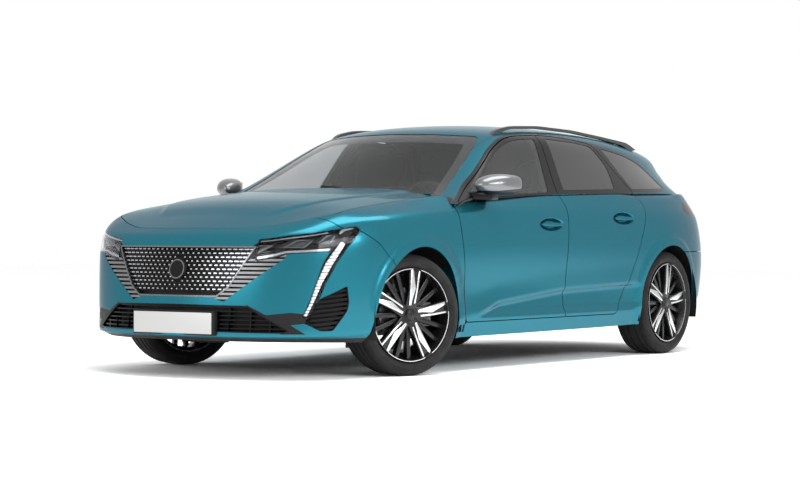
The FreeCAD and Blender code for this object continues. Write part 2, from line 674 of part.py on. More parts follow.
keep("windscreen", cabin_body(D.glass_sink, D.glass_sink).cut(
    cabin_body(D.glass_sink + D.glass_thickness, D.glass_sink + D.glass_thickness)
).common(screen_prism).cut(lower_body(0, up(35), 0)))
keep("quarter_windows", symmetric(glass_shell.common(quarter_prism)))

# ---------------------------------------------------------------- front body

under_lamps = whole_body(D.lamp_depth)
bumper_shell = shell(D.bumper_depth)
lamp_limits = cuboid((1700, 2400), (LAMP_Y, 1100), (200, 900))
lamp = outer.common(headlamp_prism).common(lamp_limits).cut(under_lamps).cut(bonnet_opening)
keep("headlamps", symmetric(lamp))

lamp_room = symmetric(headlamp_prism.common(lamp_limits))
keep("front_bumper", cut_all(bumper_shell.common(front_bumper_prism), [
    bonnet_opening, grille_prism, intake_prism, lamp_room,
    vent_prism, mirrored(vent_prism), front_arch_cut, mirrored(front_arch_cut),
]))

GRILLE_SINK, GRILLE_THICKNESS = 10, 12
sunk_shell = shell(GRILLE_SINK + GRILLE_THICKNESS, GRILLE_SINK)
meshes = [sunk_shell.common(grille_prism).cut(lamp_room), sunk_shell.common(intake_prism)]
meshes += [sunk_shell.common(vent_prism), sunk_shell.common(mirrored(vent_prism))]
keep("grille", Part.makeCompound([s for mesh in meshes for s in mesh.Solids]))

cowl_corner = cuboid((1000, 1078), (0, 740), (880, 1100))
fender = cut_all(skin_shell.common(fender_prism), [
    cowl_corner, front_bumper_prism, bonnet_opening, lamp_room, front_arch_cut, screen_prism,
] + skin_openings)
keep("front_fenders", symmetric(fender))

bonnet = outer.cut(lower_body(D.bonnet_depth, D.bonnet_depth, 0)).common(bonnet_prism)
bonnet = bonnet.common(lower_body(0, 0, 0))
BONNET_HINGE_X, BONNET_HINGE_Z, BONNET_HINGE_Y = 1035, 940, 670
ARM_HALF, ARM_EYE, ARM_RUN = 7, 9, 70     # a bonnet arm's half width, its eye's radius and its length
for side in (-1, 1):
    y = side * across(BONNET_HINGE_Y)
    x, z = along(BONNET_HINGE_X), up(BONNET_HINGE_Z)
    bonnet_arm = block((x, x + ARM_RUN), (y - ARM_HALF, y + ARM_HALF), (z - ARM_EYE, z + ARM_EYE))
    bonnet_arm = bonnet_arm.fuse(cylinder_at(x, y, z, ARM_EYE, 2 * ARM_HALF, (0, 1, 0)))
    bonnet_arm = bonnet_arm.common(lower_body(0, 6, 0))
    bonnet = bonnet.fuse(bonnet_arm).cut(
        cylinder_at(x, y, z, D.hinge_pin_radius + D.running_clearance, 40, (0, 1, 0))
    )
keep("bonnet", bonnet)

# ---------------------------------------------------------------- bulkhead, cowl and inner wings

cowl = lower_body(0, up(35), 0).common(cuboid((958, 1052), (-640, 640), (905, 1100)))
bulkhead = cuboid((985, 1040), (-CABIN_HALF_Y, CABIN_HALF_Y), (190, 905)).fuse(cowl)
for side in (-1, 1):
    y = side * across(BONNET_HINGE_Y)
    x, z = along(BONNET_HINGE_X), up(BONNET_HINGE_Z)
    ear_y = y + side * 18
    ear = block((x - 12, x + 5), (ear_y - 6, ear_y + 6), (up(900), z + 9))
    pin = cylinder_at(x, y + side * 6, z, D.hinge_pin_radius, 30, (0, 1, 0))
    bulkhead = bulkhead.fuse(ear).fuse(pin)
wing_y = inner_wall_y - 4
WING_THICKNESS = 18
PANEL_BACK_X, PANEL_FRONT_X = 2060, 2085     # the cross panel that carries the nose
INNER_WING = [(1040, 300), (PANEL_BACK_X, 300), (PANEL_BACK_X, 700), (1040, 820)]
for side in (-1, 1):
    low, high = sorted((side * (wing_y - WING_THICKNESS), side * wing_y))
    bulkhead = bulkhead.fuse(side_prism(INNER_WING, low, high))
bulkhead = bulkhead.fuse(
    block((along(PANEL_BACK_X), along(PANEL_FRONT_X)), (-wing_y, wing_y), (up(250), up(700)))
)
CRASH_BOX_WIDTH, CRASH_BOX_LENGTH = 90, 250
grille_back = whole_body(GRILLE_SINK + GRILLE_THICKNESS)
for side in (-1, 1):
    low, high = sorted((side * (wing_y - CRASH_BOX_WIDTH), side * wing_y))
    crash_box = block(
        (along(PANEL_FRONT_X), along(PANEL_FRONT_X) + CRASH_BOX_LENGTH), (low, high), (up(400), up(470))
    )
    bulkhead = bulkhead.fuse(crash_box.common(grille_back))
keep("engine_bay", cut_all(bulkhead, [bonnet_opening, steer_cut, mirrored(steer_cut)]))

# ---------------------------------------------------------------- floor

FLOOR_Z, FLOOR_TOP = 190, 225
LOAD_Z, LOAD_TOP = 610, 650
floor = cuboid((-1000, 985), (-CABIN_HALF_Y, CABIN_HALF_Y), (FLOOR_Z, FLOOR_TOP))
floor = floor.fuse(cuboid((-1030, -1000), (-CABIN_HALF_Y, CABIN_HALF_Y), (FLOOR_Z, LOAD_TOP)))
floor = floor.fuse(cuboid((-2165, -1030), (-CABIN_HALF_Y, CABIN_HALF_Y), (LOAD_Z, LOAD_TOP)))
floor = floor.fuse(cuboid((-2190, -2165), (-500, 500), (300, LOAD_TOP)))
ARCH_COVER = 8          # thickness of the cover over a rear wheel arch
RAIL_IN_Y, RAIL_OUT_Y, RAIL_DEPTH = 430, 480, 90
above_floor = block((-BIG, BIG), (-BIG, BIG), (up(LOAD_Z), BIG))
for side in (-1, 1):
    low, high = sorted((side * across(ARCH_WALL_Y - ARCH_COVER), side * across(CABIN_HALF_Y)))
    arch_cover = Part.makeCylinder(
        arch_radius + ARCH_COVER, high - low, Vector(rear_axle, low, axle_z), Vector(0, 1, 0)
    )
    floor = floor.fuse(arch_cover.common(above_floor))
    low, high = sorted((side * across(RAIL_IN_Y), side * across(RAIL_OUT_Y)))
    rail = block((along(-2165), along(-1000)), (low, high), (up(LOAD_Z) - RAIL_DEPTH, up(LOAD_Z)))
    floor = floor.fuse(rail)
floor = floor.cut(rear_arch_cut).cut(mirrored(rear_arch_cut))
floor = floor.common(whole_body(D.bumper_depth))
keep("floor_pan", floor)

# ---------------------------------------------------------------- rear body

open_underside = cuboid((-2200, -1400), (-560, 560), (100, 400))
keep("rear_bumper", cut_all(bumper_shell.common(side_prism(REAR_BUMPER)), [
    tailgate_opening, rear_arch_cut, mirrored(rear_arch_cut), open_underside,
]))

TAIL_LAMP_DEPTH = 50
rear_lamp = outer.common(tail_lamp_prism).cut(whole_body(TAIL_LAMP_DEPTH)).cut(tailgate_opening)
keep("tail_lamps", symmetric(rear_lamp))

tailgate = outer.common(tailgate_prism).common(side_prism(TAILGATE_BACK))
tailgate = tailgate.cut(whole_body(D.tailgate_depth))
REAR_SCREEN_SETBACK = 60     # the rear screen starts this far behind the tailgate's leading edge
rear_screen_start = tailgate_front - REAR_SCREEN_SETBACK
rear_screen_prism = end_prism(whole_outline(REAR_SCREEN_HALF), -BIG, rear_screen_start)
tailgate = tailgate.cut(rear_screen_prism)
for side in (-1, 1):
    y = side * (across(TAILGATE_HINGE_Y) + 17)
    tailgate = tailgate.fuse(tailgate_lug(y, False))
    tailgate = tailgate.cut(cylinder_at(
        tailgate_hinge_x, y, up(TAILGATE_HINGE_Z), TAILGATE_PIN + D.running_clearance, 60, (0, 1, 0)
    ))
keep("tailgate", tailgate)
keep("tailgate_window", whole_body(D.glass_sink).cut(
    whole_body(D.glass_sink + D.glass_thickness)
).common(rear_screen_prism).common(block((-BIG, rear_screen_start), (-BIG, BIG), (0, BIG))))

# ---------------------------------------------------------------- roof rails

RailSection = namedtuple("RailSection", "x top_z")
RAIL_SECTIONS = [
    RailSection(150, 1352), RailSection(-8, 1381), RailSection(-305, 1393), RailSection(-699, 1383),
    RailSection(-1046, 1358), RailSection(-1386, 1330), RailSection(-1440, 1318),
]
RAIL_CENTRE_Y = 562
RAIL_ROOT, RAIL_EDGE = 70, 8     # the section's depth, well into the roof, and its cut corner
rail_rings = []
for r in RAIL_SECTIONS:
    half, low, high = D.rail_width / 2, up(r.top_z) - RAIL_ROOT, up(r.top_z)
    y = across(RAIL_CENTRE_Y)
    ring = [(y - half, low), (y + half, low), (y + half, high - RAIL_EDGE),
            (y + half - RAIL_EDGE, high), (y - half + RAIL_EDGE, high), (y - half, high - RAIL_EDGE)]
    rail_rings.append([Vector(along(r.x), v, w) for v, w in ring])
keep("roof_rails", symmetric(loft(rail_rings).cut(cabin_body(0, 0))))

# ---------------------------------------------------------------- bound primitives


class Bound:
    """Makes primitives whose sizes and places are expressions of the spreadsheet's cells."""

    @staticmethod
    def bind(piece, bindings):
        for name, expression in bindings.items():
            piece.setExpression(name, str(expression))

    @staticmethod
    def box(name, x, y, z):
        """A box between (low, high) pairs of expressions."""
        piece = doc.addObject("Part::Box", name)
        Bound.bind(piece, {
            "Length": f"({x[1]}) - ({x[0]})", "Width": f"({y[1]}) - ({y[0]})",
            "Height": f"({z[1]}) - ({z[0]})", "Placement.Base.x": x[0],
            "Placement.Base.y": y[0], "Placement.Base.z": z[0],
        })
        return piece

    @staticmethod
    def cylinder(name, base, radius, length, direction):
        """A cylinder from a base point, three expressions, along a fixed direction."""
        piece = doc.addObject("Part::Cylinder", name)
        piece.Placement = Placement(Vector(0, 0, 0), Rotation(Vector(0, 0, 1), Vector(*direction)))
        Bound.bind(piece, {
            "Radius": radius, "Height": length, "Placement.Base.x": base[0],
            "Placement.Base.y": base[1], "Placement.Base.z": base[2],
        })
        return piece

    @staticmethod
    def fuse(name, shapes):
        piece = doc.addObject("Part::MultiFuse", name)
        piece.Shapes = shapes
        return piece

    @staticmethod
    def cut(name, base, tool):
        piece = doc.addObject("Part::Cut", name)
        piece.Base = base
        piece.Tool = tool
        return piece


bound_pieces = []


def keep_bound(name, piece):
    piece.Label = name
    bound_pieces.append(piece)
    return piece


def span(low, high, expression):
    """A (low, high) pair of design places as expressions."""
    return expression(low), expression(high)


def body_box(name, x, y, z):
    """A box between design places in the body."""
    return Bound.box(
        name, span(x[0], x[1], along_expression), span(y[0], y[1], across_expression),
        span(z[0], z[1], up_expression),
    )


# ---------------------------------------------------------------- inside the cabin

DASH_REACH = 690
dash = Bound.fuse("dashboard_solid", [
    body_box("dash_top", (735, 980), (-DASH_REACH, DASH_REACH), (740, 880)),
    body_box("dash_base", (800, 980), (-DASH_REACH, DASH_REACH), (480, 740)),
    body_box("instrument_hood", (690, 800), (235, 505), (800, 915)),
    body_box("console", (-120, 800), (-95, 95), (225, 520)),
])
column_angle = 25
column_direction = (-math.cos(math.radians(column_angle)), 0, math.sin(math.radians(column_angle)))
WHEEL_CENTRE = (480, 370, 865)
COLUMN_LENGTH = 330
column_start = (
    f"{along_expression(WHEEL_CENTRE[0])} - {column_direction[0]:.6f} * {COLUMN_LENGTH}",
    across_expression(WHEEL_CENTRE[1]),
    f"{up_expression(WHEEL_CENTRE[2])} - {column_direction[2]:.6f} * {COLUMN_LENGTH}",
)
column = Bound.cylinder("column", column_start, "28", str(COLUMN_LENGTH - 22), column_direction)
dash_mass = Bound.fuse("dashboard_mass", [dash, column])
keep_bound("dashboard", dash_mass)

# Steering wheel: a rim, three spokes and a hub, built flat about the column's end.
rim_ring = doc.addObject("Part::Torus", "steering_rim")
Bound.bind(rim_ring, {
    "Radius1": "Dimensions.steering_wheel_radius", "Radius2": "Dimensions.steering_rim_radius",
})
hub = Bound.cylinder("steering_hub", ("0", "0", "-22 + Dimensions.running_clearance"), "62", "44", (0, 0, 1))
spokes = []
for index, angle in enumerate((0, 180, 270)):
    spoke = doc.addObject("Part::Box", f"steering_spoke_{index}")
    spoke.Width = 44
    spoke.Height = 14
    spoke.setExpression("Length", "Dimensions.steering_wheel_radius")
    turn = Rotation(Vector(0, 0, 1), angle)
    spoke.Placement = Placement(turn.multVec(Vector(0, -22, -7)), turn)
    spokes.append(spoke)
steering_wheel = Bound.fuse("steering_wheel", [rim_ring, hub] + spokes)
steering_wheel.Placement = Placement(
    Vector(0, 0, 0),
    Rotation(Vector(*column_direction), D.rest_steer * D.steering_ratio)
    * Rotation(Vector(0, 1, 0), Vector(0, 0, 1), Vector(*column_direction), "ZXY"),
)
Bound.bind(steering_wheel, {
    "Placement.Base.x": along_expression(WHEEL_CENTRE[0]),
    "Placement.Base.y": across_expression(WHEEL_CENTRE[1]),
    "Placement.Base.z": up_expression(WHEEL_CENTRE[2]),
})
keep_bound("steering_wheel", steering_wheel)


def seat_parts(x, low_y, high_y, outlines):
    """Side-view outlines of a seat's parts, given from its place on the floor, pushed across the car."""
    return [
        side_prism([(x + u, SEAT_Z + v) for u, v in outline], across(low_y), across(high_y))
        for outline in outlines
    ]


CUSHION = [(-60, 60), (440, 110), (490, 160), (470, 190), (0, 150), (-60, 175)]
BACKREST = [(-110, 60), (0, 60), (20, 160), (-95, 640), (-185, 640), (-150, 160)]
HEADREST = [(-190, 655), (-105, 655), (-115, 800), (-195, 800)]
HEADREST_POSTS = [(-158, 630), (-146, 630), (-156, 670), (-168, 670)]
SEAT_RISER = [(-40, 0), (400, 0), (400, 108), (-40, 66)]
FRONT_SEAT_X, FRONT_SEAT_Y = 40, 370
REAR_SEAT_X, REAR_SEAT_HALF = -800, 640
SEAT_Z = FLOOR_TOP
SEAT_HALF, RISER_HALF = 255, 200
HEADREST_HALF, REAR_HEADREST_HALF = 130, 120
POST_IN, POST_OUT = 48, 60       # a headrest post's inner and outer faces from the headrest's middle


def fuse_all(solids):
    return solids[0].multiFuse(solids[1:]) if len(solids) > 1 else solids[0]


def headrest(x, middle, half):
    """A headrest and its two posts, about a middle line across the car."""
    posts = seat_parts(x, middle - POST_OUT, middle - POST_IN, [HEADREST_POSTS])
    posts += seat_parts(x, middle + POST_IN, middle + POST_OUT, [HEADREST_POSTS])
    return seat_parts(x, middle - half, middle + half, [HEADREST]) + posts


front_parts = seat_parts(
    FRONT_SEAT_X, FRONT_SEAT_Y - SEAT_HALF, FRONT_SEAT_Y + SEAT_HALF, [CUSHION, BACKREST]
)
front_parts += seat_parts(
    FRONT_SEAT_X, FRONT_SEAT_Y - RISER_HALF, FRONT_SEAT_Y + RISER_HALF, [SEAT_RISER]
)
front_parts += headrest(FRONT_SEAT_X, FRONT_SEAT_Y, HEADREST_HALF)
keep("front_seats", symmetric(fuse_all(front_parts)))
rear_parts = seat_parts(
    REAR_SEAT_X, -REAR_SEAT_HALF, REAR_SEAT_HALF, [CUSHION, BACKREST, SEAT_RISER]
)
for middle in (-400, 0, 400):
    rear_parts += headrest(REAR_SEAT_X, middle, REAR_HEADREST_HALF)
keep("rear_seat", fuse_all(rear_parts))

# ---------------------------------------------------------------- engine, exhaust, axles

keep_bound("engine", Bound.fuse("engine_solid", [
    body_box("engine_block", (1420, 1900), (-400, 330), (280, 700)),
    body_box("gearbox", (1180, 1420), (-250, 330), (250, 520)),
]))

EXHAUST_Y, RAISED_Z, STEP_X = -300, 300, -1640
HANGER_Y, HANGER_Z, HANGER_LENGTH, HANGER_RADIUS = -455, 340, 180, "6"
pipe_radius = "Dimensions.exhaust_radius"
pipe_y = across_expression(EXHAUST_Y)
low_z = f"{up_expression(FLOOR_Z)} - {pipe_radius}"
raised_z = up_expression(RAISED_Z)


def hanger(name, x):
    base = (along_expression(x), across_expression(HANGER_Y), up_expression(HANGER_Z))
    return Bound.cylinder(name, base, HANGER_RADIUS, up_expression(HANGER_LENGTH), (0, 0, 1))


exhaust = Bound.fuse("exhaust_solid", [
    Bound.cylinder("front_pipe", (along_expression(STEP_X), pipe_y, low_z), pipe_radius,
                   f"({along_expression(1240)}) - ({along_expression(STEP_X)})", (1, 0, 0)),
    Bound.cylinder("riser_pipe", (along_expression(STEP_X), pipe_y, low_z), pipe_radius,
                   f"{raised_z} - ({low_z})", (0, 0, 1)),
    Bound.cylinder("rear_pipe", (along_expression(-1800), pipe_y, raised_z), pipe_radius,
                   f"({along_expression(STEP_X)}) - ({along_expression(-1800)})", (1, 0, 0)),
    body_box("silencer", (-2120, -1780), (-475, -200), (245, 360)),
    hanger("rear_hanger", -2050),
    hanger("front_hanger", -1840),
])
keep_bound("exhaust", exhaust)

WHEEL_Z = "Dimensions.tyre_diameter / 2"
INNER_WING_FACE = f"({wing_y:.3f})"
WHEEL_Y = "(Dimensions.overall_width / 2 - Dimensions.wheel_inset - Dimensions.tyre_width / 2)"
KINGPIN_Y = f"({WHEEL_Y} - Dimensions.kingpin_offset)"
POST_HALF, PIN_HALF = 160, 186          # kingpin's thick part and its end pins, from the wheel's middle
PIN_RADIUS, POST_RADIUS, EYE_RADIUS = 12, 18, 26
EYE_PLAY = 1

# Rear axle: a cross beam with a spindle at each end, springs and trailing arms.
BEAM_HALF = 45
SPINDLE_REACH = 70      # a spindle's end past the wheel's middle plane
rear_axle_parts = [
    Bound.cylinder("rear_spindles", (REAR_AXLE, f"-({WHEEL_Y} + {SPINDLE_REACH})", WHEEL_Z),
                   "Dimensions.hub_radius", f"2 * ({WHEEL_Y} + {SPINDLE_REACH})", (0, 1, 0)),
    Bound.box("rear_beam", (f"{REAR_AXLE} - 55", f"{REAR_AXLE} + 55"),
              (f"-({WHEEL_Y} - 46)", f"{WHEEL_Y} - 46"),
              (f"{WHEEL_Z} - {BEAM_HALF}", f"{WHEEL_Z} + {BEAM_HALF}")),
]
for side, word in ((1, "left"), (-1, "right")):
    low, high = sorted((side * RAIL_OUT_Y, side * (RAIL_OUT_Y + 50)))
    rear_axle_parts.append(Bound.box(
        f"{word}_trailing_arm", (REAR_AXLE, along_expression(-1030)), span(low, high, across_expression),
        (f"{WHEEL_Z} - 30", f"{WHEEL_Z} + 30"),
    ))
    rear_axle_parts.append(Bound.cylinder(
        f"{word}_rear_spring", (REAR_AXLE, across_expression(side * 455), f"{WHEEL_Z}"), "52",
        f"{up_expression(LOAD_Z - RAIL_DEPTH)} - {WHEEL_Z}", (0, 0, 1),
    ))

# Brake calliper: a block astride the disc behind the hub, on a bracket from the hub carrier.
CALLIPER_SLOT = 5


def calliper(name, outboard):
    """A calliper and its bracket in a wheel's own frame, where outboard is +1 or -1 along Y."""
    low, high = sorted((-48 * outboard, 38 * outboard))
    block_piece = Bound.box(
        f"{name}_block", ("-(Dimensions.disc_radius + 30)", "-(Dimensions.disc_radius - 50)"),
        (str(low), str(high)), ("-62", "62"),
    )
    slot = Bound.box(
        f"{name}_slot", (f"-(Dimensions.disc_radius + {CALLIPER_SLOT})", "0"),
        (f"-(Dimensions.disc_thickness / 2 + {CALLIPER_SLOT})",
         f"Dimensions.disc_thickness / 2 + {CALLIPER_SLOT}"),
        ("-80", "80"),
    )
    open_block = Bound.cut(f"{name}_open", block_piece, slot)
    low, high = sorted((-66 * outboard, -44 * outboard))
    bracket = Bound.box(
        f"{name}_bracket", ("-(Dimensions.disc_radius + 10)", "0"), (str(low), str(high)), ("-28", "28")
    )
    return Bound.fuse(f"{name}_calliper", [open_block, bracket])


def place(piece, base, angle=0.0):
    piece.Placement = Placement(Vector(0, 0, 0), Rotation(Vector(0, 0, 1), angle))
    Bound.bind(piece, {
        "Placement.Base.x": base[0], "Placement.Base.y": base[1], "Placement.Base.z": base[2],
    })
    return piece


for side, word in ((1, "left"), (-1, "right")):
    rear_axle_parts.append(place(calliper(f"rear_{word}", side), (REAR_AXLE, f"{side} * {WHEEL_Y}", WHEEL_Z)))
keep_bound("rear_axle", Bound.fuse("rear_axle_solid", rear_axle_parts))

# Front subframe: a cross member, its posts up to the inner wings, and two arms at each steering axis.
MEMBER_SETBACK, HANGER_SETBACK = 250, 290    # steering axis inboard to the member's and arm's ends
cross_member = Bound.box(
    "cross_member", (f"{FRONT_AXLE} - 110", f"{FRONT_AXLE} + 120"),
    (f"-({KINGPIN_Y} - {MEMBER_SETBACK})", f"{KINGPIN_Y} - {MEMBER_SETBACK}"),
    (up_expression(180), up_expression(250)),
)


def from_middle(side, inner, outer_face):
    """Two places across the car as a (low, high) pair, for either side."""
    return (inner, outer_face) if side == 1 else (outer_face, inner)


lower_arms, upper_arms = [], []
for side, word in ((1, "left"), (-1, "right")):
    kingpin_face = f"{side} * {KINGPIN_Y}"
    frame_face = f"{side} * ({KINGPIN_Y} - {MEMBER_SETBACK})"
    hanger_face = f"{side} * ({KINGPIN_Y} - {HANGER_SETBACK})"
    wing_face = f"{side} * {INNER_WING_FACE}"
    lower_arm = Bound.box(
        f"{word}_lower_arm", (f"{FRONT_AXLE} - 28", f"{FRONT_AXLE} + 28"),
        from_middle(side, hanger_face, kingpin_face),
        (f"{WHEEL_Z} - {PIN_HALF}", f"{WHEEL_Z} - {POST_HALF + EYE_PLAY}"),
    )
    hanger = Bound.box(
        f"{word}_arm_hanger", (f"{FRONT_AXLE} - 28", f"{FRONT_AXLE} + 28"),
        from_middle(side, hanger_face, frame_face),
        (f"{WHEEL_Z} - {PIN_HALF}", up_expression(300)),
    )
    lower_eye = Bound.cylinder(
        f"{word}_lower_eye", (FRONT_AXLE, kingpin_face, f"{WHEEL_Z} - {PIN_HALF}"), str(EYE_RADIUS),
        str(PIN_HALF - POST_HALF - EYE_PLAY), (0, 0, 1),
    )
    lower_bore = Bound.cylinder(
        f"{word}_lower_bore", (FRONT_AXLE, kingpin_face, f"{WHEEL_Z} - {PIN_HALF + 10}"),
        f"{PIN_RADIUS} + Dimensions.running_clearance", "80", (0, 0, 1),
    )
    solid = Bound.fuse(f"{word}_lower_arm_solid", [lower_arm, hanger, lower_eye])
    lower_arms.append(Bound.cut(f"{word}_lower_arm_bored", solid, lower_bore))
    upper_arm = Bound.box(
        f"{word}_upper_arm", (f"{FRONT_AXLE} - 24", f"{FRONT_AXLE} + 24"),
        from_middle(side, wing_face, kingpin_face),
        (f"{WHEEL_Z} + {POST_HALF + EYE_PLAY}", f"{WHEEL_Z} + {PIN_HALF}"),
    )
    upper_eye = Bound.cylinder(
        f"{word}_upper_eye", (FRONT_AXLE, kingpin_face, f"{WHEEL_Z} + {POST_HALF + EYE_PLAY}"),
        str(EYE_RADIUS), str(PIN_HALF - POST_HALF - EYE_PLAY), (0, 0, 1),
    )
    upper_bore = Bound.cylinder(
        f"{word}_upper_bore", (FRONT_AXLE, kingpin_face, f"{WHEEL_Z} + {POST_HALF - 20}"),
        f"{PIN_RADIUS} + Dimensions.running_clearance", "80", (0, 0, 1),
    )
    upper_solid = Bound.fuse(f"{word}_upper_arm_solid", [upper_arm, upper_eye])
    upper_arms.append(Bound.cut(f"{word}_upper_arm_bored", upper_solid, upper_bore))
subframe_body = Bound.fuse("subframe_body", [cross_member] + lower_arms)
subframe = doc.addObject("Part::Compound", "front_subframe")
subframe.Links = [subframe_body] + upper_arms
keep_bound("front_subframe", subframe)


TYRE_SHOULDER = 26.0


def wheel_pieces(name, outboard):
    """Tyre, rim and brake disc in a wheel's own frame: the spin axis is Y and outboard is +1 or -1."""
    outer_tyre = Bound.cylinder(f"{name}_tyre_outer", ("0", "-Dimensions.tyre_width / 2", "0"),
                                "Dimensions.tyre_diameter / 2", "Dimensions.tyre_width", (0, 1, 0))
    doc.recompute()
    rounded = doc.addObject("Part::Fillet", f"{name}_tyre_rounded")
    rounded.Base = outer_tyre
    rounded.Edges = [
        (i + 1, TYRE_SHOULDER, TYRE_SHOULDER) for i, edge in enumerate(outer_tyre.Shape.Edges)
        if isinstance(edge.Curve, Part.Circle)
    ]
    bore = Bound.cylinder(f"{name}_tyre_bore", ("0", "-Dimensions.tyre_width", "0"),
                          "Dimensions.rim_diameter / 2 + Dimensions.running_clearance",
                          "2 * Dimensions.tyre_width", (0, 1, 0))
    tyre = Bound.cut(f"{name}_tyre", rounded, bore)

    barrel = Bound.cylinder(f"{name}_barrel_outer", ("0", "-Dimensions.rim_width / 2", "0"),
                            "Dimensions.rim_diameter / 2", "Dimensions.rim_width", (0, 1, 0))
    hollow = Bound.cylinder(f"{name}_barrel_inner", ("0", "-Dimensions.rim_width", "0"),
                            "Dimensions.rim_diameter / 2 - Dimensions.rim_wall",
                            "2 * Dimensions.rim_width", (0, 1, 0))
    ring = Bound.cut(f"{name}_barrel", barrel, hollow)
    hub_start = "Dimensions.hub_offset" if outboard == 1 else "-(Dimensions.hub_offset + 30)"
    hub_disc = Bound.cylinder(f"{name}_hub_disc", ("0", hub_start, "0"), "72", "30", (0, 1, 0))
    spokes = []
    for index in range(int(D.spoke_count)):
        spoke = doc.addObject("Part::Box", f"{name}_spoke_{index}")
        turn = Rotation(Vector(0, 1, 0), 90 + index * 360 / D.spoke_count)
        start = D.hub_offset + 6 if outboard == 1 else -(D.hub_offset + 6 + D.spoke_depth)
        spoke.Placement = Placement(turn.multVec(Vector(0, start, -D.spoke_width / 2)), turn)
        Bound.bind(spoke, {
            "Length": "Dimensions.rim_diameter / 2 - Dimensions.rim_wall / 2",
            "Width": "Dimensions.spoke_depth", "Height": "Dimensions.spoke_width",
        })
        spokes.append(spoke)
    solid = Bound.fuse(f"{name}_rim_solid", [ring, hub_disc] + spokes)
    hub_bore = Bound.cylinder(f"{name}_hub_bore", ("0", "-200", "0"),
                              "Dimensions.hub_radius + Dimensions.running_clearance", "400", (0, 1, 0))
    rim = Bound.cut(f"{name}_rim", solid, hub_bore)

    plate = Bound.cylinder(f"{name}_disc_plate", ("0", "-Dimensions.disc_thickness / 2", "0"),
                           "Dimensions.disc_radius", "Dimensions.disc_thickness", (0, 1, 0))
    hat_start = "0" if outboard == 1 else "-Dimensions.hub_offset"
    hat = Bound.cylinder(f"{name}_disc_hat", ("0", hat_start, "0"), "78", "Dimensions.hub_offset",
                         (0, 1, 0))
    disc_bore = Bound.cylinder(f"{name}_disc_bore", ("0", "-150", "0"),
                               "Dimensions.hub_radius + Dimensions.running_clearance", "300", (0, 1, 0))
    disc = Bound.cut(f"{name}_disc", Bound.fuse(f"{name}_disc_solid", [plate, hat]), disc_bore)
    return tyre, rim, disc


def knuckle(name, outboard):
    """A front hub carrier in its wheel's own frame, with the steering axis inboard of the middle."""
    kingpin = f"{-outboard} * Dimensions.kingpin_offset"
    spindle_start = kingpin if outboard == 1 else f"-{SPINDLE_REACH}"
    return Bound.fuse(f"{name}_knuckle", [
        Bound.cylinder(f"{name}_spindle", ("0", spindle_start, "0"), "Dimensions.hub_radius",
                       f"Dimensions.kingpin_offset + {SPINDLE_REACH}", (0, 1, 0)),
        Bound.cylinder(f"{name}_post", ("0", kingpin, f"-{POST_HALF}"), str(POST_RADIUS),
                       str(2 * POST_HALF), (0, 0, 1)),
        Bound.cylinder(f"{name}_pin", ("0", kingpin, f"-{PIN_HALF}"), str(PIN_RADIUS),
                       str(2 * PIN_HALF), (0, 0, 1)),
        calliper(f"{name}_brake", outboard),
    ])


STEER = "Dimensions.rest_steer * 1 deg"
for side, word in ((1, "left"), (-1, "right")):
    swung = f"{side} * Dimensions.kingpin_offset"
    front_base = (
        f"{FRONT_AXLE} - {swung} * sin({STEER})", f"{side} * {KINGPIN_Y} + {swung} * cos({STEER})", WHEEL_Z,
    )
    rear_base = (REAR_AXLE, f"{side} * {WHEEL_Y}", WHEEL_Z)
    for place_word, base, angle in (("front", front_base, D.rest_steer), ("rear", rear_base, 0.0)):
        name = f"{word}_{place_word}"
        for kind, piece in zip(("tyre", "rim", "disc"), wheel_pieces(name, side)):
            keep_bound(f"{name}_{kind}", place(piece, base, angle))
    keep_bound(f"{word}_knuckle", place(knuckle(word, side), front_base, D.rest_steer))

# ---------------------------------------------------------------- checks and files

doc.recompute()
for piece in doc.Objects:
    if {"Invalid", "Error"} & set(piece.State):
        raise RuntimeError(f"{piece.Label} did not recompute: {piece.State}")
for piece in features + bound_pieces:
    if piece.Shape.isNull() or not piece.Shape.isValid():
        raise RuntimeError(f"{piece.Label} has no valid shape")
os.makedirs("parts", exist_ok=True)
for piece in features + bound_pieces:
    piece.Shape.exportStep(f"parts/{piece.Label}.step")
    print(f"{piece.Label}: {len(piece.Shape.Solids)} solids, {piece.Shape.Volume / 1e6:.3f} litres")
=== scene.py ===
import json
import math

import bmesh
import bpy
from mathutils import Matrix, Vector

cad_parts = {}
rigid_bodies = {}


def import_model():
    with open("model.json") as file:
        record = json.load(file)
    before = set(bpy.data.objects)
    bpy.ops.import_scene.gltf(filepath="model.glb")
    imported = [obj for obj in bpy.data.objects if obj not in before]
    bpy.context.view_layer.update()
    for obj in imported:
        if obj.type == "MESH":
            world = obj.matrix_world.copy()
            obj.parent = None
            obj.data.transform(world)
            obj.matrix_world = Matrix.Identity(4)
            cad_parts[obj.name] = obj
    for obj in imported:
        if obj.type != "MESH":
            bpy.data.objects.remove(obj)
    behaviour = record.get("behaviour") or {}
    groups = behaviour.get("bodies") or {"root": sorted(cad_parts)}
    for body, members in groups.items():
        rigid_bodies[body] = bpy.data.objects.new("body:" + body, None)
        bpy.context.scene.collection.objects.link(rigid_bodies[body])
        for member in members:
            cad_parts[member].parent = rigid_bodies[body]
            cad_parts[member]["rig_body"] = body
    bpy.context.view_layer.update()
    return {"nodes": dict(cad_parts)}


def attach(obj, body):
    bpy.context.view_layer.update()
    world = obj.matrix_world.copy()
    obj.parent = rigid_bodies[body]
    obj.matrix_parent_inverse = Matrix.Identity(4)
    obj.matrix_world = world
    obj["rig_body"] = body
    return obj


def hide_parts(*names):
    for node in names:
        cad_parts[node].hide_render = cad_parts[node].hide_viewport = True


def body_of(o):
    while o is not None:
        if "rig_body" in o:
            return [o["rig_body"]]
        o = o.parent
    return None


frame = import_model()

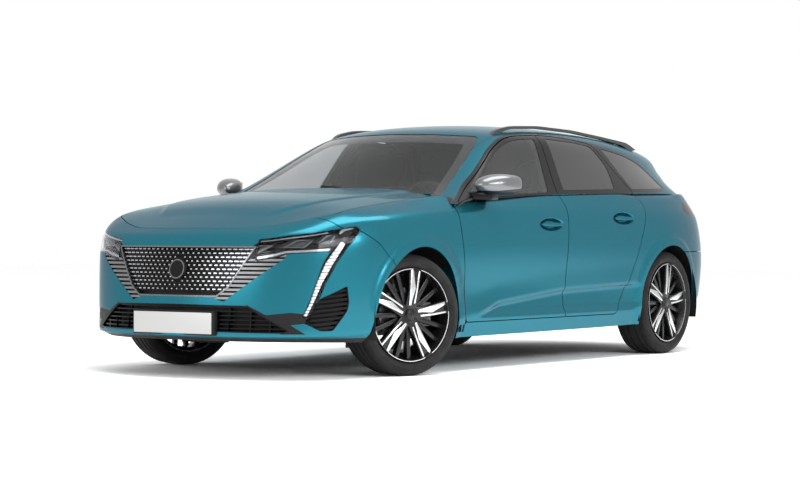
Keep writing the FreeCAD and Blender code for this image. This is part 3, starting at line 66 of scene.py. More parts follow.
# ---------------------------------------------------------------- camera, light and floor
# A long lens low beside the left front corner, a pale floor under even daylight, and one wide
# soft light above that draws the highlights along the body.

scene = bpy.context.scene
scene.view_settings.view_transform = "Standard"


def place(obj):
    """Puts a new object into the scene."""
    scene.collection.objects.link(obj)
    return obj


camera = place(bpy.data.objects.new("camera", bpy.data.cameras.new("camera")))
camera.data.lens = 97.9
camera.data.sensor_width = 36.0
camera.data.clip_end = 100.0
camera.location = (10.729, 7.359, 0.737)
CAMERA_YAW, CAMERA_PITCH, CAMERA_ROLL = -144.81, -0.40, 0.15
camera.rotation_mode = "QUATERNION"
camera.rotation_quaternion = (
    Matrix.Rotation(math.radians(CAMERA_YAW - 90), 4, "Z")
    @ Matrix.Rotation(math.radians(90 + CAMERA_PITCH), 4, "X")
    @ Matrix.Rotation(math.radians(CAMERA_ROLL), 4, "Z")
).to_quaternion()
scene.camera = camera


def soft_light(name, place_at, aim, size, power):
    """A rectangular area light at a place, turned to face another."""
    light = bpy.data.lights.new(name, "AREA")
    light.shape = "RECTANGLE"
    light.size, light.size_y = size
    light.energy = power
    lamp = place(bpy.data.objects.new(name, light))
    lamp.location = place_at
    lamp.rotation_euler = (Vector(aim) - Vector(place_at)).to_track_quat("-Z", "Y").to_euler()


soft_light("overhead", (0.5, 1.5, 5.5), (0.3, 0, 0.8), (7.0, 3.0), 320)
soft_light("left_side", (3.0, 8.0, 3.2), (0.0, 0.0, 0.7), (7.0, 1.6), 350)
soft_light("nose", (9.0, -1.5, 2.6), (1.5, 0.0, 0.6), (4.0, 2.0), 130)


def seen_by(tree, path):
    """One for rays from the camera, off gloss and through glass, and nought for the light's own."""
    total = path.outputs["Is Camera Ray"]
    for ray in ("Is Glossy Ray", "Is Transmission Ray"):
        adding = tree.nodes.new("ShaderNodeMath")
        adding.operation = "ADD"
        adding.use_clamp = True
        tree.links.new(total, adding.inputs[0])
        tree.links.new(path.outputs[ray], adding.inputs[1])
        total = adding.outputs[0]
    return total


def world_light():
    """Grey surroundings, brighter overhead, that the camera, gloss and glass see as plain white."""
    world = bpy.data.worlds.new("studio")
    scene.world = world
    world.use_nodes = True
    tree = world.node_tree
    tree.nodes.clear()
    add = tree.nodes.new
    place_at, split = add("ShaderNodeTexCoord"), add("ShaderNodeSeparateXYZ")
    ramp, light, backdrop = add("ShaderNodeValToRGB"), add("ShaderNodeBackground"), add("ShaderNodeBackground")
    mix, path, out = add("ShaderNodeMixShader"), add("ShaderNodeLightPath"), add("ShaderNodeOutputWorld")
    stops = [(0.0, 0.22), (0.48, 0.26), (0.52, 0.45), (0.70, 0.80), (1.0, 1.0)]
    ramp.color_ramp.elements[0].position, ramp.color_ramp.elements[1].position = 0.0, 1.0
    for position, _ in stops[1:-1]:
        ramp.color_ramp.elements.new(position)
    for element, (_, grey) in zip(ramp.color_ramp.elements, stops):
        element.color = (grey, grey, grey, 1)
    half = add("ShaderNodeMath")
    half.operation = "MULTIPLY_ADD"
    half.inputs[1].default_value = half.inputs[2].default_value = 0.5
    light.inputs["Strength"].default_value = 0.75
    backdrop.inputs["Color"].default_value = (1, 1, 1, 1)
    tree.links.new(place_at.outputs["Generated"], split.inputs[0])
    tree.links.new(split.outputs["Z"], half.inputs[0])
    tree.links.new(half.outputs[0], ramp.inputs["Fac"])
    tree.links.new(ramp.outputs["Color"], light.inputs["Color"])
    tree.links.new(seen_by(tree, path), mix.inputs["Fac"])
    tree.links.new(light.outputs[0], mix.inputs[1])
    tree.links.new(backdrop.outputs[0], mix.inputs[2])
    tree.links.new(mix.outputs[0], out.inputs["Surface"])


world_light()


def floor_material():
    """Matt white studio floor that lifts to plain white where nothing shades it."""
    material = bpy.data.materials.new("studio_floor")
    material.use_nodes = True
    tree = material.node_tree
    plain = tree.nodes["Principled BSDF"]
    plain.inputs["Base Color"].default_value = (0.80, 0.80, 0.80, 1)
    plain.inputs["Roughness"].default_value = 0.9
    seen = tree.nodes.new("ShaderNodeBsdfDiffuse")
    seen.inputs["Color"].default_value = (1.5, 1.5, 1.5, 1)
    path, mix = tree.nodes.new("ShaderNodeLightPath"), tree.nodes.new("ShaderNodeMixShader")
    tree.links.new(seen_by(tree, path), mix.inputs["Fac"])
    tree.links.new(plain.outputs[0], mix.inputs[1])
    tree.links.new(seen.outputs[0], mix.inputs[2])
    tree.links.new(mix.outputs[0], tree.nodes["Material Output"].inputs["Surface"])
    return material


floor_mesh = bmesh.new()
bmesh.ops.create_grid(floor_mesh, x_segments=1, y_segments=1, size=30)
floor_data = bpy.data.meshes.new("floor")
floor_mesh.to_mesh(floor_data)
floor_mesh.free()
floor = place(bpy.data.objects.new("floor", floor_data))
floor.location.z = -0.0005
floor.data.materials.append(floor_material())

# ---------------------------------------------------------------- paint
# Metallic blue-green coat with fine flake under clear lacquer, baked on the pressed panels, and the
# two black plastics of the mouldings, one polished and one grained.


def new_material(name, colour, roughness, metallic=0.0, **sockets):
    """A principled material with its plain values set on its own sockets."""
    material = bpy.data.materials.new(name)
    material.use_nodes = True
    shader = material.node_tree.nodes["Principled BSDF"]
    shader.inputs["Base Color"].default_value = (*colour, 1)
    shader.inputs["Roughness"].default_value = roughness
    shader.inputs["Metallic"].default_value = metallic
    for socket, value in sockets.items():
        shader.inputs[socket.replace("_", " ")].default_value = value
    return material


def noise(material, scale, detail=2.0, stretch=(1, 1, 1)):
    """Noise over the object's own coordinates, stretched along its axes."""
    tree = material.node_tree
    coordinates = tree.nodes.new("ShaderNodeTexCoord")
    mapping = tree.nodes.new("ShaderNodeMapping")
    mapping.inputs["Scale"].default_value = stretch
    pattern = tree.nodes.new("ShaderNodeTexNoise")
    pattern.inputs["Scale"].default_value = scale
    pattern.inputs["Detail"].default_value = detail
    tree.links.new(coordinates.outputs["Object"], mapping.inputs["Vector"])
    tree.links.new(mapping.outputs["Vector"], pattern.inputs["Vector"])
    return pattern.outputs["Fac"]


def vary(material, fac, socket, low, high):
    """Drives a socket between two values, numbers or colours, by a pattern."""
    tree = material.node_tree
    shader = tree.nodes["Principled BSDF"]
    ramp = tree.nodes.new("ShaderNodeValToRGB")
    for element, value, position in zip(ramp.color_ramp.elements, (low, high), (0.3, 0.7)):
        element.position = position
        element.color = (*value, 1) if isinstance(value, tuple) else (value, value, value, 1)
    tree.links.new(fac, ramp.inputs["Fac"])
    tree.links.new(ramp.outputs["Color"], shader.inputs[socket])


def bump(material, fac, distance):
    """Raises the surface by a pattern, to a depth in metres."""
    tree = material.node_tree
    node = tree.nodes.new("ShaderNodeBump")
    node.inputs["Strength"].default_value = 1.0
    node.inputs["Distance"].default_value = distance
    tree.links.new(fac, node.inputs["Height"])
    tree.links.new(node.outputs["Normal"], tree.nodes["Principled BSDF"].inputs["Normal"])


def finish(name, colour, roughness, metallic=0.0, worn=None, tint=None, grain=None, stretch=(1, 1, 1), **sockets):
    """A material whose roughness (worn) or colour (tint) wanders by a noise, given as its scale and two
    ends, with a raised grain of a scale and depth if there is one."""
    material = new_material(name, colour, roughness, metallic, **sockets)
    if grain:
        bump(material, noise(material, grain[0]), grain[1])
    for socket, change in (("Roughness", worn), ("Base Color", tint)):
        if change:
            vary(material, noise(material, change[0], stretch=stretch), socket, *change[1:])
    return material


paint = finish("paint", (0.012, 0.145, 0.195), 0.25, 0.72,
               tint=(900.0, (0.011, 0.130, 0.178), (0.015, 0.163, 0.212)), Coat_Weight=0.35,
               Coat_Roughness=0.02, Coat_IOR=1.35, Specular_Tint=(0.08, 0.30, 0.36, 1), Specular_IOR_Level=0.2)
black_gloss = finish("black_gloss", (0.004, 0.004, 0.005), 0.2, worn=(60.0, 0.15, 0.25),
                     Specular_IOR_Level=0.16)
black_plastic = finish("black_plastic", (0.008, 0.008, 0.009), 0.6, worn=(9.0, 0.42, 0.6),
                       grain=(1400.0, 0.0002), Specular_IOR_Level=0.2)

# ---------------------------------------------------------------- body surface
# The pressed outer skin, as two smooth sheets: the lower body that wraps round from nose to tail
# with the bonnet, and the cabin from the windscreen over the roof to the rear screen. Lines are
# given on the left, nose to tail, as (x, y, z).

LOWER_LINES = [
    # under edge
    [(2.225, 0, .192), (2.212, .20, .192), (2.180, .40, .192), (2.12, .56, .192), (2.035, .685, .192),
     (1.93, .770, .190), (1.80, .832, .188), (1.62, .868, .188), (1.373, .872, .186), (1.0, .866, .186),
     (.45, .864, .186), (-.12, .864, .188), (-.60, .866, .190), (-1.0, .868, .195), (-1.359, .872, .205),
     (-1.6, .850, .220), (-1.8, .800, .240), (-1.95, .742, .255), (-2.07, .665, .265), (-2.17, .56, .27),
     (-2.235, .30, .27), (-2.25, 0, .27)],
    # lip and sill edge
    [(2.318, 0, .218), (2.302, .20, .218), (2.266, .40, .218), (2.205, .56, .219), (2.118, .695, .221),
     (2.0, .795, .224), (1.85, .865, .232), (1.655, .900, .252), (1.373, .900, .278), (1.0, .892, .288),
     (.45, .888, .290), (-.12, .888, .292), (-.60, .888, .296), (-1.0, .890, .302), (-1.359, .898, .312),
     (-1.6, .880, .322), (-1.8, .842, .330), (-1.95, .792, .335), (-2.08, .722, .34), (-2.185, .635, .345),
     (-2.285, .32, .345), (-2.302, 0, .345)],
    # above the sill
    [(2.306, 0, .375), (2.292, .20, .375), (2.258, .40, .373), (2.200, .56, .370), (2.112, .70, .370),
     (1.995, .802, .372), (1.845, .870, .385), (1.652, .906, .405), (1.373, .908, .425), (1.0, .880, .43),
     (.45, .872, .425), (-.12, .874, .425), (-.60, .880, .435), (-1.0, .892, .455), (-1.359, .914, .465),
     (-1.6, .894, .465), (-1.8, .856, .465), (-1.95, .806, .465), (-2.084, .744, .465), (-2.194, .660, .465),
     (-2.298, .32, .465), (-2.318, 0, .465)],
    # waist
    [(2.283, 0, .565), (2.270, .20, .565), (2.240, .40, .565), (2.192, .56, .567), (2.110, .70, .572),
     (1.992, .803, .578), (1.842, .872, .588), (1.650, .910, .600), (1.373, .922, .615), (1.0, .908, .62),
     (.45, .906, .62), (-.12, .906, .62), (-.60, .908, .625), (-1.0, .912, .635), (-1.359, .929, .640),
     (-1.6, .905, .635), (-1.8, .866, .63), (-1.95, .814, .63), (-2.085, .753, .63), (-2.194, .671, .63),
     (-2.288, .32, .635), (-2.306, 0, .637)],
    # below the shoulder
    [(2.256, 0, .680), (2.245, .20, .680), (2.220, .40, .682), (2.178, .56, .688), (2.102, .70, .700),
     (1.985, .803, .712), (1.838, .872, .728), (1.650, .909, .752), (1.373, .914, .780), (1.0, .903, .800),
     (.45, .905, .815), (-.12, .906, .828), (-.60, .908, .838), (-1.0, .911, .845), (-1.359, .914, .848),
     (-1.6, .888, .845), (-1.8, .846, .84), (-1.95, .792, .835), (-2.068, .725, .83), (-2.158, .643, .825),
     (-2.235, .32, .825), (-2.252, 0, .825)],
    # shoulder
    [(2.222, 0, .735), (2.208, .20, .735), (2.180, .40, .737), (2.135, .56, .745), (2.060, .685, .765),
     (1.952, .778, .790), (1.828, .838, .812), (1.650, .868, .832), (1.373, .878, .855), (1.0, .886, .868),
     (.45, .892, .882), (-.12, .892, .892), (-.60, .890, .898), (-1.0, .887, .903), (-1.359, .877, .905),
     (-1.6, .850, .905), (-1.8, .806, .905), (-1.95, .750, .905), (-2.045, .685, .905), (-2.12, .60, .903),
     (-2.195, .32, .903), (-2.212, 0, .903)],
    # bonnet edge, fender crest and belt
    [(2.168, 0, .768), (2.156, .20, .768), (2.122, .39, .770), (2.062, .545, .790), (1.985, .668, .822),
     (1.900, .742, .848), (1.785, .762, .866), (1.620, .766, .886), (1.373, .770, .914), (1.04, .800, .945),
     (.45, .852, .952), (-.12, .854, .968), (-.60, .850, .982), (-1.0, .840, .996), (-1.359, .820, 1.002),
     (-1.6, .792, 1.004), (-1.8, .745, 1.006), (-1.93, .688, 1.006), (-2.01, .622, 1.006),
     (-2.06, .545, 1.006), (-2.12, .30, 1.006), (-2.14, 0, 1.006)],
]
BELT_TUCK = 0.07     # how far the belt's inner edge turns in under the side windows
# Bonnet sections behind its front edge: x at the centre, and the rise over the crest at each
# quarter of the way out from the centre.
BONNET_SECTIONS = [
    (1.900, (.026, .025, .022, .014, 0)),
    (1.720, (.042, .040, .036, .022, 0)),
    (1.420, (.050, .048, .044, .027, 0)),
    (1.060, (.046, .045, .042, .024, 0)),
]


def grid_mesh(rows, creases=()):
    """A sheet of quads through rows of places, one vertex each; creases are (row, strength)."""
    sheet = bmesh.new()
    count = len(rows[0])
    bmesh.ops.create_grid(sheet, x_segments=count - 1, y_segments=len(rows) - 1, size=1)
    sheet.verts.ensure_lookup_table()
    places = [Vector(p) for row in rows for p in row]
    for vertex, at in zip(sheet.verts, places):
        vertex.co = at
    layer = sheet.edges.layers.float.new("crease_edge")
    for row, strength in creases:
        members = set(range(row * count, (row + 1) * count))
        for edge in sheet.edges:
            if {v.index for v in edge.verts} <= members:
                edge[layer] = strength
    return sheet


def join_bmesh(base, other):
    """Adds one bmesh's geometry to another, with its creases."""
    held = bpy.data.meshes.new("held")
    other.to_mesh(held)
    base.from_mesh(held)
    bpy.data.meshes.remove(held)
    other.free()


def mesh_object(name, source):
    """Turns a bmesh into an object and frees it."""
    data = bpy.data.meshes.new(name)
    source.to_mesh(data)
    source.free()
    return place(bpy.data.objects.new(name, data))


def apply_modifiers(obj):
    """Replaces an object's mesh by what its modifiers make of it."""
    graph = bpy.context.evaluated_depsgraph_get()
    made = bpy.data.meshes.new_from_object(obj.evaluated_get(graph))
    obj.modifiers.clear()
    old = obj.data
    obj.data = made
    bpy.data.meshes.remove(old)
    return obj


def subdivided(obj, levels):
    """Smooths an object's mesh by subdivision."""
    smoothing = obj.modifiers.new("smooth", "SUBSURF")
    smoothing.levels = smoothing.render_levels = levels
    return apply_modifiers(obj)


def smooth_sheet(name, sheet, levels=3):
    """Mirrors a left-hand sheet to the right, joins it at the middle and smooths it."""
    bmesh.ops.mirror(sheet, geom=sheet.verts[:] + sheet.edges[:] + sheet.faces[:], axis="Y",
                     merge_dist=1e-5)
    bmesh.ops.remove_doubles(sheet, verts=sheet.verts, dist=1e-5)
    bmesh.ops.recalc_face_normals(sheet, faces=sheet.faces)
    return subdivided(mesh_object(name, sheet), levels)


crest = LOWER_LINES[-1]
CORNER = 5           # the column where the bonnet's front edge turns into its side
SIDE_END = 9         # the column at the bonnet's rear corner
lower = grid_mesh(LOWER_LINES, creases=[(1, 0.75), (5, 0.35), (6, 0.5)])
belt = [Vector(p) for p in crest[SIDE_END:]]
tuck = []
for index, at in enumerate(belt):
    way = belt[min(index + 1, len(belt) - 1)] - belt[max(index - 1, 0)] if at.y else Vector((0, -1, 0))
    tuck.append(at + Vector((-way.y, way.x, 0)).normalized() * BELT_TUCK + Vector((0, 0, -0.004)))
join_bmesh(lower, grid_mesh([belt, tuck]))
front_edge = [Vector(p) for p in crest[:CORNER + 1]]
bonnet_rows = [front_edge]
for index, (centre_x, rises) in enumerate(BONNET_SECTIONS, start=1):
    side = Vector(crest[CORNER + index])
    row = []
    for edge_point in front_edge:
        share = edge_point.y / front_edge[-1].y
        step = min(int(share * 4), 3)
        rise = rises[step] + (rises[step + 1] - rises[step]) * (share * 4 - step)
        row.append(Vector((
            centre_x + (side.x - centre_x) * share ** 2, side.y * share, side.z + rise,
        )))
    row[-1] = side
    bonnet_rows.append(row)
join_bmesh(lower, grid_mesh(bonnet_rows))
lower_sheet = smooth_sheet("lower_sheet", lower)

CABIN_LINES = [
    # centre of windscreen, roof and rear screen
    [(1.13, 0, .895), (1.02, 0, .962), (.905, 0, 1.030), (.720, 0, 1.150), (.535, 0, 1.262), (.405, 0, 1.338),
     (.22, 0, 1.371), (0, 0, 1.392), (-.30, 0, 1.405), (-.70, 0, 1.401), (-1.10, 0, 1.379), (-1.50, 0, 1.341),
     (-1.80, 0, 1.308), (-1.955, 0, 1.288), (-1.935, 0, 1.262), (-1.975, 0, 1.205), (-2.045, 0, 1.11),
     (-2.145, 0, .985)],
    [(1.11, .36, .895), (1.00, .355, .962), (.878, .35, 1.030), (.685, .335, 1.150), (.495, .32, 1.260),
     (.368, .31, 1.331), (.19, .33, 1.360), (0, .33, 1.379), (-.30, .33, 1.391), (-.70, .33, 1.387),
     (-1.10, .33, 1.365), (-1.50, .32, 1.328), (-1.78, .31, 1.297), (-1.915, .30, 1.279), (-1.90, .295, 1.254),
     (-1.945, .30, 1.20), (-2.008, .315, 1.11), (-2.105, .34, .985)],
    # screen edge and roof rail line
    [(1.045, .700, .895), (.945, .690, .955), (.800, .665, 1.028), (.590, .628, 1.142), (.380, .590, 1.250),
     (.270, .570, 1.304), (.14, .575, 1.330), (-.02, .575, 1.347), (-.30, .575, 1.361), (-.70, .572, 1.357),
     (-1.10, .565, 1.337), (-1.48, .54, 1.303), (-1.72, .515, 1.268), (-1.825, .50, 1.247), (-1.818, .50, 1.228),
     (-1.845, .525, 1.175), (-1.895, .555, 1.10), (-1.975, .605, .985)],
    # pillar and cant rail
    [(1.050, .800, .895), (.935, .785, .950), (.760, .768, 1.020), (.545, .722, 1.132), (.335, .672, 1.240),
     (.200, .660, 1.284), (.10, .668, 1.298), (-.04, .678, 1.308), (-.30, .684, 1.318), (-.70, .682, 1.312),
     (-1.10, .668, 1.286), (-1.46, .63, 1.243), (-1.68, .592, 1.195), (-1.785, .565, 1.165), (-1.795, .562, 1.150),
     (-1.835, .575, 1.115), (-1.885, .59, 1.065), (-1.965, .622, .985)],
    # upper side glass
    [(1.055, .855, .890), (.940, .838, .940), (.775, .822, .990), (.565, .785, 1.065), (.355, .742, 1.150),
     (.215, .728, 1.185), (.11, .728, 1.197), (-.04, .732, 1.205), (-.30, .736, 1.212), (-.70, .732, 1.208),
     (-1.10, .715, 1.188), (-1.44, .678, 1.155), (-1.65, .648, 1.120), (-1.765, .618, 1.095), (-1.785, .612, 1.085),
     (-1.835, .61, 1.060), (-1.890, .615, 1.03), (-1.96, .632, .985)],
    # belt
    [(1.060, .880, .885), (.950, .866, .925), (.800, .856, .945), (.600, .853, .950), (.400, .853, .956),
     (.260, .853, .960), (.14, .853, .964), (-.02, .853, .968), (-.30, .852, .975), (-.70, .845, .985),
     (-1.10, .830, .996), (-1.42, .802, 1.000), (-1.62, .772, 1.000), (-1.75, .740, 1.0), (-1.80, .722, .998),
     (-1.86, .695, .993), (-1.915, .665, .988), (-1.965, .640, .983)],
]
cabin_sheet = smooth_sheet("cabin_sheet", grid_mesh(CABIN_LINES))
front_axle = Vector((1.373, 0, 0.3185))
rear_axle = Vector((-1.359, 0, 0.3185))
LIP_RADIUS, LIP_RISE = 0.412, 0.009
DOOR_CREASE = [(1.0, .285), (.82, .300), (.593, .373), (-.077, .430), (-.811, .450), (-1.0, .452)]
CREASE_DEPTH = 0.015
BONNET_RIDGE = [(1.06, .60), (1.37, .585), (1.80, .50), (2.03, .36), (2.12, .26)]
RIDGE_RISE = 0.007
HANDLES = {"front": (0.066, 0.798), "rear": (-0.770, 0.839)}
HANDLE_HALF, HANDLE_DIP = (0.128, 0.037), 0.020


def soft_step(t):
    t = min(max(t, 0), 1)
    return t * t * (3 - 2 * t)


def along(line, at):
    """The height of a line of points at a place along it."""
    line = sorted(line)
    for (a, low), (b, high) in zip(line, line[1:]):
        if at <= b:
            return low + (high - low) * max(at - a, 0) / (b - a)
    return line[-1][1]


def from_axle(at):
    """How far a place is from the nearer wheel's centre, seen from the side."""
    return min(math.hypot(at.x - axle.x, at.z - axle.z) for axle in (front_axle, rear_axle))


def in_handle(at, reach):
    """True near a door handle, out to a multiple of its size."""
    return abs(at.y) > 0.8 and any(
        ((at.x - x) / HANDLE_HALF[0]) ** 2 + ((at.z - z) / HANDLE_HALF[1]) ** 2 < reach for x, z in HANDLES.values()
    )


def pressed_region(at):
    lip = abs(at.y) > 0.6 and from_axle(at) < 0.50
    crease = abs(at.y) > 0.6 and -1.0 < at.x < 1.0 and at.z < 0.58
    return lip or crease or in_handle(at, 4) or (at.x > 1.0 and at.z > 0.74 and abs(at.y) < 0.70)


def press(at, normal):
    """The rise of the pressed features over the plain sheet."""
    rise = 0.0
    if abs(at.y) > 0.6:
        rise += LIP_RISE * soft_step((LIP_RADIUS + 0.018 - from_axle(at)) / 0.034)
        if -1.0 < at.x < 1.0:
            below = along(DOOR_CREASE, at.x) - at.z
            fade = soft_step((at.z - 0.275) / 0.06) * soft_step((1.0 - abs(at.x)) / 0.12)
            rise -= CREASE_DEPTH * soft_step(below / 0.03) * fade
            rise += 0.004 * soft_step(1 + below / 0.12) * soft_step(1 - below / 0.02) * fade
    elif normal.z > 0.5 and at.x > 1.0:
        ridge = soft_step((along(BONNET_RIDGE, at.x) - abs(at.y)) / 0.035)
        rise += RIDGE_RISE * ridge * soft_step((2.02 - at.x) / 0.12)
    return rise


def dip(at, normal):
    """The hollow behind each door handle."""
    depth = 0.0
    for x, z in HANDLES.values():
        away = ((at.x - x) / HANDLE_HALF[0]) ** 2 + ((at.z - z) / HANDLE_HALF[1]) ** 2
        if abs(at.y) > 0.8:
            depth = max(depth, HANDLE_DIP * soft_step((1.15 - away) / 0.9))
    return -depth


def sculpt(obj, region, cuts, rise):
    """Divides a sheet's faces in a region and moves their points outwards by a rule."""
    work = bmesh.new()
    work.from_mesh(obj.data)
    edges = {e for f in work.faces if region(f.calc_center_median()) for e in f.edges}
    bmesh.ops.subdivide_edges(work, edges=list(edges), cuts=cuts, use_grid_fill=True)
    work.normal_update()
    moves = [(v, v.normal * rise(v.co, v.normal)) for v in work.verts if region(v.co)]
    for vertex, move in moves:
        vertex.co += move
    work.to_mesh(obj.data)
    work.free()


sculpt(lower_sheet, pressed_region, 1, press)
subdivided(lower_sheet, 1)
sculpt(lower_sheet, lambda at: in_handle(at, 2.2), 1, dip)
face_centres = {sheet.name: [tuple(face.center) for face in sheet.data.polygons]
                for sheet in (lower_sheet, cabin_sheet)}
SKIN = 0.0045


def near_faces(sheet_object, tools):
    """The part of a sheet that lies round the space that all the tools share."""
    margin = 0.07
    spans = [[tuple(corner) for corner in tool.bound_box] for tool in tools]
    low = [max(min(c[i] for c in span) for span in spans) - margin for i in range(3)]
    high = [min(max(c[i] for c in span) for span in spans) + margin for i in range(3)]
    (x0, y0, z0), (x1, y1, z1) = low, high
    part = bmesh.new()
    part.from_mesh(sheet_object.data)
    stray = [face for face, (x, y, z) in zip(part.faces, face_centres[sheet_object.name])
             if not (x0 < x < x1 and y0 < y < y1 and z0 < z < z1)]
    bmesh.ops.delete(part, geom=stray, context="FACES")
    return part


def sink(part, depth):
    """Moves a sheet's points inwards along their normals."""
    part.normal_update()
    for vertex, move in [(v, v.normal * depth) for v in part.verts]:
        vertex.co -= move


def wall(part, depth, thickness):
    """The solid between two depths under a sheet."""
    sink(part, depth)
    obj = mesh_object("wall", part)
    made = obj.modifiers.new("wall", "SOLIDIFY")
    made.thickness = thickness
    made.offset = -1
    return apply_modifiers(obj)


# ---------------------------------------------------------------- where the panels meet
# Panel edges and openings, in side view as (x, z), in front view as (y, z), in plan as (x, y).
# A third number is a corner's own radius.

REACH = 1.3
SHUT_GAP = 0.005


def rounded(points, radius, steps=5):
    """An outline whose corners turn through short curves."""
    outline = []
    count = len(points)
    for index, point in enumerate(points):
        turn = point[2] if len(point) > 2 else radius
        at = Vector(point[:2])
        before = Vector(points[index - 1][:2]) - at
        after = Vector(points[(index + 1) % count][:2]) - at
        start = at + before.normalized() * min(turn, before.length * 0.48)
        end = at + after.normalized() * min(turn, after.length * 0.48)
        for step in range(steps + 1):
            t = step / steps
            outline.append(start * (1 - t) ** 2 + at * 2 * t * (1 - t) + end * t ** 2)
    return outline


def grown(outline, distance):
    """An outline moved outwards all round, or inwards if negative."""
    area = sum(a.cross(b) for a, b in zip(outline, outline[1:] + outline[:1]))
    side = 1 if area > 0 else -1
    moved = []
    for index, at in enumerate(outline):
        along_edge = outline[(index + 1) % len(outline)] - outline[index - 1]
        moved.append(at + Vector((along_edge.y, -along_edge.x)).normalized() * distance * side)
    return moved


def prism(places, reach):
    """A closed block: a flat outline in space pushed along a direction."""
    block = bmesh.new()
    face = block.faces.new([block.verts.new(p) for p in places])
    pushed = bmesh.ops.extrude_face_region(block, geom=[face])["geom"]
    bmesh.ops.translate(block, verts=[g for g in pushed if isinstance(g, bmesh.types.BMVert)], vec=reach)
    bmesh.ops.recalc_face_normals(block, faces=block.faces)
    return mesh_object("tool", block)


def side_block(outline, low=-REACH, high=REACH):
    return prism([(x, low, z) for x, z in outline], (0, high - low, 0))


def end_block(outline, low, high):
    return prism([(low, y, z) for y, z in outline], (high - low, 0, 0))


def nose_block(outline):
    """A front-view outline pushed through the whole nose."""
    return end_block(outline, NOSE_BACK, NOSE_FRONT)


def plan_block(outline, low, high):
    return prism([(x, y, low) for x, y in outline], (0, 0, high - low))


def box_block(low, high):
    return prism([(low[0], low[1], low[2]), (high[0], low[1], low[2]), (high[0], high[1], low[2]),
                  (low[0], high[1], low[2])], (0, 0, high[2] - low[2]))


def mirror_half(half):
    """A half outline (y, ...) from the middle round to the middle, closed on the right."""
    return half + [(-p[0], *p[1:]) for p in reversed(half) if abs(p[0]) > 1e-6]


def carve(obj, inside=(), outside=()):
    """Keeps a solid inside some blocks and cuts it by others."""
    for operation, group in (("INTERSECT", inside), ("DIFFERENCE", outside)):
        for tool in group:
            step = obj.modifiers.new("cut", "BOOLEAN")
            step.solver = "MANIFOLD"
            step.operation = operation
            step.object = tool
    return apply_modifiers(obj)


def panel(sheet_object, inside, outside=(), depth=0.0, thickness=SKIN):
    """A piece of wall under a sheet, kept inside some blocks and cut by others."""
    return carve(wall(near_faces(sheet_object, inside), depth, thickness), inside, outside)


def join_objects(first, *others):
    """Adds other objects' meshes to the first."""
    merged = bmesh.new()
    for obj in (first, *others):
        merged.from_mesh(obj.data)
    data = bpy.data.meshes.new("joined")
    merged.to_mesh(data)
    merged.free()
    first.data = data
    for obj in others:
        bpy.data.objects.remove(obj)
    return first


def moulding(inside, outside=()):
    """A thin moulding that stands proud of the lower body's skin."""
    return panel(lower_sheet, inside, outside, depth=-0.0015, thickness=0.0014)


def rounded_box(low, high, width, segments=2):
    """A box from one corner to the other with rounded edges."""
    return bevelled(box_block(low, high), width, segments)


SHARP = math.radians(32)


def finish_piece(name, obj, body, material, slot="black_plastic", *stands_for):
    """Names a piece, smooths its shading, gives it its finish and hangs it on its body."""
    obj.name = name
    shaped = bmesh.new()
    shaped.from_mesh(obj.data)
    for face in shaped.faces:
        face.smooth = True
    for edge in shaped.edges:
        edge.smooth = edge.calc_face_angle(0) < SHARP
    data = bpy.data.meshes.new(name)
    shaped.to_mesh(data)
    shaped.free()
    obj.data = data
    data.materials.append(material)
    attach(obj, body)
    if stands_for:
        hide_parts(*stands_for)
    return obj


def mirrored_copy(obj):
    """The same piece on the car's right."""
    flipped = bmesh.new()
    flipped.from_mesh(obj.data)
    bmesh.ops.scale(flipped, vec=(1, -1, 1), verts=flipped.verts)
    bmesh.ops.reverse_faces(flipped, faces=flipped.faces)
    return mesh_object("mirrored", flipped)


FRONT_DOOR = rounded([
    (.937, .268, .03), (.956, .545), (1.000, .760), (1.012, .880), (.990, .905, .02), (.874, .957),
    (.755, 1.012), (.637, 1.068), (.460, 1.161), (.387, 1.201), (.312, 1.237), (.193, 1.284),
    (.078, 1.307), (-.152, 1.320, .012), (-.075, .985), (-.109, .925), (-.117, .842), (-.115, .739),
    (-.105, .429), (-.113, .268, .01),
], .05)
REAR_DOOR = rounded([
    (-.119, .268, .01), (-.111, .429), (-.121, .739), (-.123, .842), (-.115, .925), (-.081, .985),
    (-.158, 1.320, .012), (-.332, 1.320), (-.530, 1.309), (-.745, 1.288, .03), (-1.003, 1.003),
    (-1.063, .927, .04), (-1.030, .828), (-.987, .740), (-.925, .600), (-.811, .405), (-.734, .299),
    (-.700, .268, .02),
], .05)
SIDE_GLASS = rounded([
    (1.022, .905, .02), (.881, .965), (.762, 1.024), (.644, 1.080), (.468, 1.174), (.395, 1.214),
    (.319, 1.250), (.199, 1.298), (.082, 1.321), (-.079, 1.332), (-.264, 1.334), (-.445, 1.330),
    (-.755, 1.299), (-.945, 1.275), (-1.160, 1.245), (-1.350, 1.206), (-1.470, 1.145), (-1.580, 1.026, .012),
    (-1.348, 1.004), (-1.001, .999), (-.093, .974), (.273, .954), (.624, .932),
], .06)
FRONT_WINDOW = rounded([
    (.830, .962, .01), (.628, 1.056), (.520, 1.113), (.389, 1.184), (.290, 1.230), (.162, 1.272),
    (.060, 1.290), (-.096, 1.300, .012), (.012, .984, .012), (.290, .972),
], .04)
REAR_WINDOW = rounded([
    (-.167, 1.000, .012), (-.224, 1.303, .012), (-.530, 1.292), (-.722, 1.274, .04),
    (-.820, 1.153, .05), (-.790, 1.018, .02),
], .05)
QUARTER_GLASS = rounded([
    (-1.025, 1.022, .01), (-.850, 1.266, .015), (-1.026, 1.247), (-1.180, 1.226), (-1.340, 1.188),
    (-1.450, 1.130), (-1.545, 1.036, .012),
], .05)
SCREEN = rounded(mirror_half([
    (0, .905), (.760, .905), (.741, .935, .02), (.720, .968), (.674, 1.051), (.632, 1.148), (.594, 1.224),
    (.545, 1.302, .04), (.300, 1.317), (0, 1.323),
]), .06)
